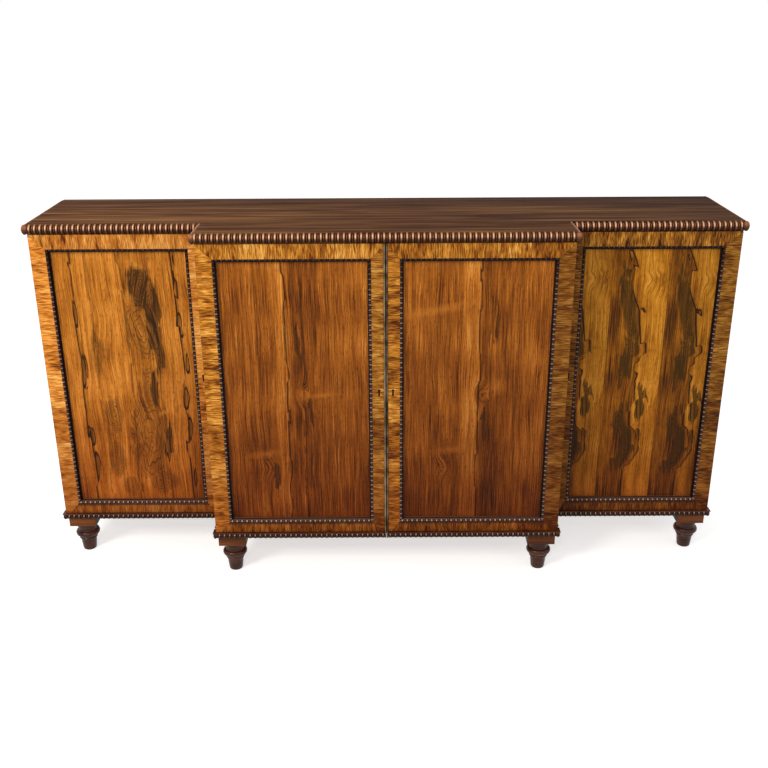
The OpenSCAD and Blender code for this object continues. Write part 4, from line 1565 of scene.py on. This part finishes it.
@dataclass
class Feet:
    """Turned feet: a tapered stem, a collar, a wide ring, a neck and a disc, in millimetres.

    The places of the feet are in metres from the cabinet's middle, for its right half.
    """

    turned: Material
    wing: Pair = (0.828, -0.05475)
    centre: Pair = (0.405, -0.16175)
    back_y: float = 0.17425
    ring_r: float = 32.0
    half_ring: float = 9.0
    ring_z: float = 53.0
    block_h: float = 86.0
    dowel_r: float = 12.0
    dowel_h: float = 19.5
    segments: int = 56
    sharp: float = 42.0

    def outline(self) -> list[Pair]:
        """Draw the foot's half section.

        Returns:
            Radius and height from the sole's middle up to the dowel.
        """
        core = self.ring_r - self.half_ring
        points = [(0.0, 0.0), (14.6, 0.0), (16.2, 0.5), (17.3, 1.5), (18.0, 3.4), (18.6, 9.0)]
        points += [(19.6, 18.0), (20.6, 27.0), (21.4, 34.6), (21.8, 35.6)]
        points += self.arc(22.4, 37.9, 2.1, -80, 70, 7)
        points += [(22.6, 41.2), (23.2, 42.6)]
        points += self.arc(core, self.ring_z, self.half_ring, -78, 78, 15)
        points += [(24.6, 62.4), (24.2, 64.6), (25.0, 67.4), (26.0, 70.0), (26.0, 78.4), (25.6, 80.0)]
        points += self.arc(27.0, 83.8, 2.0, -85, 60, 6)
        block, dowel = self.block_h, self.block_h + self.dowel_h
        return points + [(27.4, block), (self.dowel_r, block), (self.dowel_r, dowel), (0.0, dowel)]

    def arc(
        self, radius: float, height: float, size: float, start: float, end: float, count: int
    ) -> list[Pair]:
        """Draw part of a circle in the section.

        Args:
            radius: Its middle's distance from the foot's axis.
            height: Its middle's height.
            size: Its own radius.
            start: First angle in degrees, 0 pointing outwards.
            end: Last angle.
            count: How many points.

        Returns:
            The points.
        """
        angles = [math.radians(start + (end - start) * step / (count - 1)) for step in range(count)]
        return [(radius + size * math.cos(angle), height + size * math.sin(angle)) for angle in angles]

    def one(self, spot: Vector, name: str) -> Mesh:
        """Turn one foot.

        Args:
            spot: Its middle on the floor.
            name: The mesh's name.

        Returns:
            The mesh.
        """
        turns = [2 * math.pi * step / self.segments for step in range(self.segments)]
        rings = [
            [spot + MM * Vector((radius * math.cos(t), radius * math.sin(t), height)) for t in turns]
            for radius, height in self.outline()[1:-1]
        ]
        mesh = skin(rings, False, name)
        shade(mesh, self.sharp)
        return mesh

    def build(self) -> None:
        """Turn the feet and set them, four in front and four behind."""
        (wing_x, wing_y), (centre_x, centre_y) = self.wing, self.centre
        rows = {"front_feet": (wing_y, centre_y), "back_feet": (self.back_y, self.back_y)}
        for node, (outer_y, inner_y) in rows.items():
            spots = [(-wing_x, outer_y), (-centre_x, inner_y), (centre_x, inner_y), (wing_x, outer_y)]
            parts = [(self.one(Vector((x, y, 0)), node), self.turned) for x, y in spots]
            place_piece(joined("turned_" + node, parts), "carcase", [node])


@dataclass
class Blocks:
    """Square blocks between the feet and the carcase, with their arrises eased."""

    finish: Material
    ease: float = 0.8 * MM
    shortest: float = 20 * MM
    steepest: float = 60.0

    def build(self, nodes: dict[str, Object]) -> None:
        """Copy the blocks and ease their edges.

        Args:
            nodes: The CAD nodes.
        """
        mesh = copy_of(nodes["foot_blocks"], "eased_blocks")
        shape = bmesh.new()
        shape.from_mesh(mesh)
        long = [edge for edge in shape.edges if edge.is_manifold and edge.calc_length() > self.shortest]
        sharp = [edge for edge in long if edge.calc_face_angle(0.0) > math.radians(self.steepest)]
        bmesh.ops.bevel(shape, geom=sharp, offset=self.ease, segments=2, affect="EDGES", profile=0.5)
        shape.to_mesh(mesh)
        shape.free()
        shade(mesh, 35)
        mesh.materials.clear()
        mesh.materials.append(self.finish)
        place_piece(mesh, "carcase", ["foot_blocks"])


@dataclass(frozen=True)
class Lamp:
    """A soft square lamp: its place, what it points at, its side in metres and its power in watts."""

    name: str
    place: Size
    target: Size
    size: float
    power: float
    colour: str


@dataclass
class Studio:
    """Floor, soft lamps, world and camera."""

    lamps: tuple[Lamp, ...] = (
        Lamp("key_window", (-2.1, -2.7, 2.6), (-0.2, 0.0, 0.45), 0.9, 76.0, "#fff6ea"),
        Lamp("near_window", (-0.4, -3.4, 2.6), (0.0, 0.0, 0.6), 0.3, 14.0, "#fff8f0"),
        Lamp("fill_window", (2.6, -3.0, 1.8), (0.2, 0.0, 0.4), 2.2, 14.0, "#f4f8ff"),
        Lamp("top_window", (0.0, 0.3, 3.4), (0.0, 0.0, 0.9), 2.4, 24.0, "#ffffff"),
    )
    eye: Vector = Vector((-0.0040, -2.4388, 1.4304))
    yaw: float = -0.0243
    pitch: float = 21.629
    roll: float = -0.305
    lens: float = 46.0
    sensor: float = 36.0
    floor_half: float = 9.0
    floor_colour: str = "#e2e2e2"
    floor_roughness: float = 0.9
    floor_specular: float = 0.1
    floor_glow: float = 0.6
    world_light: float = 0.55

    def build(self) -> None:
        """Set everything round the cabinet."""
        self.set_floor()
        self.set_world()
        for lamp in self.lamps:
            self.set_lamp(lamp)
        self.set_camera()

    def seen(self, net: Network) -> Node:
        """Tell rays that show the background from rays that only light the object.

        Args:
            net: The material's or world's tree.

        Returns:
            A node that is 1 for camera, glossy and transmission rays.
        """
        path = net.add("LightPath").outputs
        mirrored = net.add("Math.MAXIMUM", path["Is Glossy Ray"], path["Is Transmission Ray"])
        return net.add("Math.MAXIMUM", path["Is Camera Ray"], mirrored)

    def set_floor(self) -> None:
        """Lay a pale floor that keeps the object's shadow."""
        mesh = bpy.data.meshes.new("floor")
        half = self.floor_half
        corners = [(-half, -half, 0), (half, -half, 0), (half, half, 0), (-half, half, 0)]
        mesh.from_pydata(corners, [], [(0, 1, 2, 3)])
        floor = put_in("floor", mesh)
        material = bpy.data.materials.new("white_paper_sweep")
        material.use_nodes = True
        net = Network(material.node_tree, "ShaderNode")
        shader = material.node_tree.nodes["Principled BSDF"]
        shader.inputs["Roughness"].default_value = self.floor_roughness
        shader.inputs["Specular IOR Level"].default_value = self.floor_specular
        net.feed(self.floor_colour, shader.inputs["Base Color"])
        net.feed("#ffffff", shader.inputs["Emission Color"])
        glow = net.add("Math.MULTIPLY", self.seen(net), self.floor_glow)
        net.feed(glow, shader.inputs["Emission Strength"])
        mesh.materials.append(material)

    def set_world(self) -> None:
        """Light from all round, and a white background."""
        world = bpy.data.worlds.new("studio")
        bpy.context.scene.world = world
        world.use_nodes = True
        net = Network(world.node_tree, "ShaderNode")
        background = world.node_tree.nodes["Background"]
        background.inputs["Color"].default_value = (1.0, 1.0, 1.0, 1.0)
        strength = net.add("MapRange", self.seen(net), 0.0, 1.0, self.world_light, 1.0)
        net.feed(strength, background.inputs["Strength"])

    def set_lamp(self, lamp: Lamp) -> None:
        """Hang a soft lamp.

        Args:
            lamp: What it is and where it hangs.
        """
        light = bpy.data.lights.new(lamp.name, "AREA")
        light.shape = "SQUARE"
        light.size = lamp.size
        light.energy = lamp.power
        light.color = linear(lamp.colour)[:3]
        holder = put_in(lamp.name, light)
        holder.location = lamp.place
        beam = Vector(lamp.target) - Vector(lamp.place)
        holder.rotation_euler = beam.to_track_quat("-Z", "Y").to_euler()

    def set_camera(self) -> None:
        """Stand the camera where the photograph was taken from."""
        camera = bpy.data.cameras.new("camera")
        camera.sensor_width = self.sensor
        camera.lens = self.lens
        holder = put_in("camera", camera)
        yaw, pitch, roll = (math.radians(angle) for angle in (self.yaw, self.pitch, self.roll))
        ahead = Vector((math.sin(yaw) * math.cos(pitch), math.cos(yaw) * math.cos(pitch), -math.sin(pitch)))
        level = Vector((math.cos(yaw), -math.sin(yaw), 0.0))
        upright = level.cross(ahead)
        right = level * math.cos(roll) + upright * math.sin(roll)
        above = upright * math.cos(roll) - level * math.sin(roll)
        turn = Matrix((right, above, -ahead)).transposed().to_4x4()
        holder.matrix_world = Matrix.Translation(self.eye) @ turn
        bpy.context.scene.camera = holder
        bpy.context.scene.view_settings.view_transform = "Standard"


# The cabinet's own finishes

# The palettes grow darker from the left wing to the right: partly the veneers' own tone, partly painted
# shade where the light falls off to the right
ORANGE_BROWN: Stops = (
    (0.0, "#2c1404"), (0.2, "#6e370e"), (0.45, "#b06a1e"), (0.72, "#dc9038"), (1.0, "#fcc070"),
)
OLIVE_BROWN: Stops = (
    (0.0, "#160a02"), (0.2, "#4a2607"), (0.45, "#925610"), (0.72, "#c68222"), (1.0, "#eca846"),
)
RED_BROWN: Stops = (
    (0.0, "#1c0a02"), (0.2, "#54280a"), (0.45, "#925014"), (0.72, "#c4782a"), (1.0, "#f0ac54"),
)
BAND_LEFT: Stops = (
    (0.0, "#542608"), (0.25, "#9c5618"), (0.5, "#cc7c2a"), (0.8, "#eaa048"), (1.0, "#fcc270"),
)
BAND_CENTRE: Stops = (
    (0.0, "#3c1a06"), (0.25, "#824610"), (0.5, "#b06e1e"), (0.8, "#dc9638"), (1.0, "#f4b860"),
)
BAND_RIGHT: Stops = (
    (0.0, "#2c1204"), (0.25, "#5c320a"), (0.5, "#8c5618"), (0.8, "#ba7e2a"), (1.0, "#dea04a"),
)

# Each panel's figure lies where the photograph has it, in millimetres from the panel's left and foot
STRAIGHT = FiguredRosewood(
    "straight_rosewood_veneer",
    tones=RED_BROWN,
    wave=5.0,
    jog=4.0,
    streak=1.3,
    contrast=(1.5, 0.55, 0.6),
    foot_from=640.0,
    whorls=(Oval(200, 350, 26, 44, 20), Oval(120, 150, 40, 46, -16)),
)
PANELS = {
    "left_centre": replace(
        STRAIGHT,
        name="straight_rosewood_veneer_left",
        foot_tint="#a88472",
        bands=(
            (0.0, 0.48), (0.2, 0.46), (0.35, 0.44), (0.4, 0.6), (0.45, 0.64), (0.49, 0.34), (0.6, 0.37),
            (0.75, 0.46), (1.0, 0.52),
        ),
        inks=((166.0, 0.95), (206.0, 0.6), (98.0, 0.3), (286.0, 0.3)),
        clouds=(Oval(196, 470, 7, 80), Oval(132, 130, 12, 40), Oval(222, 300, 7, 50)),
        lights=(Oval(200, 350, 20, 30), Oval(100, 190, 60, 14, turn=-8), Oval(250, 350, 50, 10, turn=-6)),
    ),
    "right_centre": replace(
        STRAIGHT,
        name="straight_rosewood_veneer_right",
        foot_tint="#987264",
        cut=9.0,
        bands=(
            (0.0, 0.48), (0.2, 0.46), (0.4, 0.43), (0.45, 0.62), (0.53, 0.66), (0.56, 0.38), (0.68, 0.4),
            (0.8, 0.48), (1.0, 0.54),
        ),
        inks=((197.0, 0.95), (222.0, 0.5), (98.0, 0.25), (290.0, 0.3)),
        clouds=(Oval(214, 270, 8, 60), Oval(236, 540, 7, 70)),
        lights=(Oval(238, 372, 30, 26), Oval(95, 570, 120, 16, turn=-11), Oval(130, 200, 60, 14, turn=-6)),
    ),
    "left_wing": FiguredRosewood(
        "figured_rosewood_veneer_left",
        tones=ORANGE_BROWN,
        contrast=(1.05, 0.6, 0.7),
        cloud_tone="#36230c",
        bands=((0.0, 0.5), (0.3, 0.5), (0.46, 0.5), (0.56, 0.44), (0.72, 0.44), (0.8, 0.5), (1.0, 0.5)),
        inks=((55.0, 1.0), (98.0, 0.4), (178.0, 0.6), (252.0, 0.5), (284.0, 0.35), (310.0, 1.0)),
        islands=(
            Oval(59, 530, 7, 40), Oval(60, 375, 7, 52), Oval(59, 195, 7, 32), Oval(61, 105, 8, 50),
            Oval(314, 500, 8, 38), Oval(324, 398, 8, 32), Oval(315, 300, 8, 36), Oval(315, 214, 8, 38),
            Oval(322, 70, 8, 34),
        ),
        clouds=(
            Oval(226, 601, 46, 66), Oval(250, 500, 18, 170), Oval(236, 330, 12, 60), Oval(262, 180, 9, 70),
        ),
        eyes=(
            Oval(216, 490, 46, 100), Oval(222, 320, 28, 84), Oval(216, 190, 60, 150),
            Oval(120, 126, 28, 60), Oval(125, 255, 26, 60), Oval(96, 420, 18, 70), Oval(150, 51, 22, 34),
            Oval(236, 62, 40, 44),
        ),
        lights=(
            Oval(172, 582, 46, 16, turn=28), Oval(214, 655, 30, 12, turn=24), Oval(99, 300, 14, 16),
            Oval(252, 262, 26, 10, turn=-30), Oval(140, 540, 12, 40),
        ),
        whorls=(Oval(206, 200, 60, 120, -30), Oval(215, 540, 60, 120, 26), Oval(110, 420, 60, 110, 12)),
    ),
    "right_wing": FiguredRosewood(
        "slip_matched_rosewood_veneer",
        leaf=142.0,
        first_leaf=62.0,
        wave=8.0,
        jog=12.0,
        contrast=(1.15, 0.6, 0.75),
        cloud_tone="#46300a",
        tones=OLIVE_BROWN,
        path=(
            (0.0, 0.6), (0.13, 0.58), (0.21, 0.92), (0.29, 0.89), (0.31, 0.71), (0.45, 0.64),
            (0.58, 0.66), (0.6, 0.85), (0.76, 0.71), (0.88, 0.3), (0.91, 0.44), (1.0, 0.12),
        ),
        bands=((0.0, 0.38), (0.14, 0.4), (0.2, 0.4), (0.24, 0.63), (0.6, 0.65), (1.0, 0.49)),
        foot_tint="#bc9684",
        inks=((32.0, 1.0), (8.0, 0.35)),
        clouds=(Oval(8, 560, 22, 120), Oval(0, 400, 24, 90), Oval(4, 190, 24, 110), Oval(56, 290, 14, 60)),
        whorls=(Oval(100, 290, 34, 90, 16), Oval(96, 620, 34, 80, -12)),
    ),
}
# The frames' shade and dark values darken the right-hand members: partly the leaves' own tone, partly
# painted shade where the light falls off
BANDS = {
    "left_centre": CrossbandedRosewood(
        "crossbanded_rosewood_centre_left",
        tones=BAND_CENTRE,
        shade=(-1.18, -0.88),
        dark=(0.0, 0.38, 0.34, 0.14),
    ),
    "right_centre": CrossbandedRosewood(
        "crossbanded_rosewood_centre_right",
        tones=BAND_CENTRE,
        shade=(-1.28, -0.94),
        dark=(0.1, 0.6, 0.34, 0.14),
    ),
    "left_wing": CrossbandedRosewood(
        "crossbanded_rosewood_left",
        tones=BAND_LEFT,
        shade=(-1.16, -0.88),
        lines=0.3,
        dark=(0.0, 0.14, 0.2, 0.24),
        foot_tint="#92644e",
    ),
    "right_wing": CrossbandedRosewood(
        "crossbanded_rosewood_right",
        tones=BAND_RIGHT,
        shade=(-1.22, -0.88),
        dark=(0.35, 0.4, 0.3, 0.0),
    ),
}

TURNED = LongGrainWood(
    "turned_and_polished_rosewood",
    grain=Grain.ALONG_X,
    fleck=3.0,
    length=40.0,
    roughness=(0.2, 0.32),
    specular=0.22,
    tones=((0.0, "#140703"), (0.4, "#32160b"), (0.7, "#522a18"), (1.0, "#744226")),
)
BOARD = LongGrainWood(
    "french_polished_rosewood_top",
    grain=Grain.ALONG_X,
    fleck=3.0,
    band=24.0,
    length=160.0,
    roughness=(0.3, 0.42),
    specular=0.002,
    # Painted shade, darker towards the right and the back
    falloff_shade=0.62,
    tones=((0.2, "#200e06"), (0.38, "#44240f"), (0.5, "#603c1e"), (0.62, "#764c27"), (0.8, "#a0703c")),
)
SIDES = LongGrainWood(
    "rosewood_veneered_sides",
    grain=Grain.ALONG_Z,
    roughness=(0.34, 0.5),
    specular=0.12,
    tones=((0.0, "#2a1208"), (0.35, "#6a3818"), (0.65, "#9a5c2a"), (1.0, "#c08040")),
)
BARE = LongGrainWood(
    "planed_mahogany_carcase",
    grain=Grain.ALONG_X,
    roughness=(0.55, 0.7),
    tones=((0.0, "#5a3420"), (0.4, "#7e5234"), (0.7, "#966440"), (1.0, "#aa7850")),
)
BLOCKS = LongGrainWood(
    "rosewood_foot_blocks",
    grain=Grain.ALONG_X,
    length=90.0,
    roughness=(0.34, 0.5),
    specular=0.12,
    tones=((0.0, "#240e05"), (0.4, "#582e12"), (0.7, "#824820"), (1.0, "#aa6c36")),
    # Painted shade, darker towards the right, and on the end-grain sides
    falloff_shade=0.4,
    ends="#1c0e08",
)
BLACK = LongGrainWood(
    "black_stained_beading",
    length=60.0,
    roughness=(0.3, 0.4),
    specular=0.06,
    tones=((0.0, "#140a08"), (0.5, "#241410"), (1.0, "#3a221a")),
    # Painted highlight on the beading's up-facing ledges
    painted_top_light="#705040",
)
TOP_BEADS = TurnedBeads("rosewood_beads_worn_and_highlit", roughness=(0.16, 0.26), specular=0.12)
BLACK_BEADS = TurnedBeads(
    "black_beading_beads",
    roughness=(0.24, 0.36),
    specular=0.06,
    crest_wear_and_highlight="#c4a896",
    shoulder="#94705c",
    flank="#4c2c20",
    reel="#8c7062",
    groove="#140908",
    light=((0.0, 0.0), (0.35, 0.1), (0.5, 0.5), (0.6, 0.85), (0.8, 1.0), (1.0, 1.0)),
    # Painted shadow towards the top of the beading
    overhang_shade_from=750.0,
)
BASE_BEADS = TurnedBeads(
    "waxed_rosewood_beads_highlit",
    roughness=(0.18, 0.28),
    specular=0.1,
    crest_wear_and_highlight="#dcb498",
    shoulder="#84503a",
    flank="#44210f",
    reel="#6c4430",
    groove="#22110a",
    light=((0.0, 0.0), (0.6, 0.1), (0.76, 0.55), (0.87, 1.0), (0.97, 1.0), (1.0, 0.7)),
)
LINING = CastMetal("blackened_brass_lining", bright="#30261c", tarnish="#0e0906")
BRASS = CastMetal("aged_brass", bright="#84705a", tarnish="#54442f")
# A darker copy of the brass: painted shade on the right-hand edging of the centre doors
SHADED_BRASS = CastMetal("brass_in_painted_shade", bright="#6c5c48", tarnish="#382d20")
STEEL = CastMetal("filed_steel", bright="#72706c", tarnish="#3a3732")


def outline(node: str) -> Box:
    """Measure a CAD node's left, right, foot and head in millimetres."""
    low, high = (corner * 1000 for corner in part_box(node))
    return low.x, high.x, low.z, high.z


def door_finishes(name: str) -> tuple[FiguredRosewood, CrossbandedRosewood]:
    """Fit a door's veneers to its panel and its frame.

    Args:
        name: The door's name in its nodes.

    Returns:
        The panel's veneer and the frame's crossbanding.
    """
    opening, outer = outline(name + "_beading"), outline(name + "_frame")
    members = tuple(abs(inner - edge) for inner, edge in zip(opening, outer))
    return replace(PANELS[name], box=opening), replace(BANDS[name], box=outer, members=members)


def dress(nodes: dict[str, Object], finish: Material, names: Sequence[str]) -> None:
    """Give CAD nodes their finish.

    Args:
        nodes: The CAD nodes.
        finish: The material.
        names: Whole names, or endings shared by several nodes.
    """
    for name, node in nodes.items():
        if any(name == wanted or name.endswith("_" + wanted) for wanted in names):
            node.data.materials[0] = finish
            LOG.info("%s: %s", name, finish.name)


def main() -> None:
    """Build the looks of the cabinet over its frame."""
    logging.basicConfig(level=logging.INFO, format="%(name)s: %(message)s")
    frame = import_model()
    nodes = frame["nodes"]

    turned, brass = TURNED.material(), BRASS.material()
    black_beads, black = BLACK_BEADS.material(), BLACK.material()
    trees = BeadTree()
    fine_trees = BeadTree("fine_bead_and_reel", stations=8, bead=5)
    base = BaseMoulding(trees, BASE_BEADS.material(), turned)
    Top(trees, TOP_BEADS.material(), BOARD.material()).build(nodes)
    base.returns()
    for bay in Bay:
        for side in Side:
            panel, band = door_finishes(door_name(side, bay))
            Door(side, bay, fine_trees, black_beads, black, base, panel, band).build(nodes)
    Feet(turned).build()
    Blocks(BLOCKS.material()).build(nodes)
    Screws(ScrewTree(), brass).build()
    dress(nodes, SIDES.material(), ("end_panel", "partition", "closing_strip"))
    dress(nodes, BARE.material(), ("bottom", "back_panels", "shelf", "shelf_bearers"))
    bolt = ("flush_bolt_case", "flush_bolt")
    dress(nodes, brass, ("hinge_leaves", "hinge_pins", "brass_edge", "strike_plates", *bolt))
    # Painted shade: the right-hand edging takes the darker copy of the brass
    dress(nodes, SHADED_BRASS.material(), ("right_centre_brass_edge",))
    dress(nodes, LINING.material(), ("keyhole",))
    dress(nodes, STEEL.material(), ("lock", "lock_bolt"))
    Studio().build()


if __name__ == "__main__":
    main()
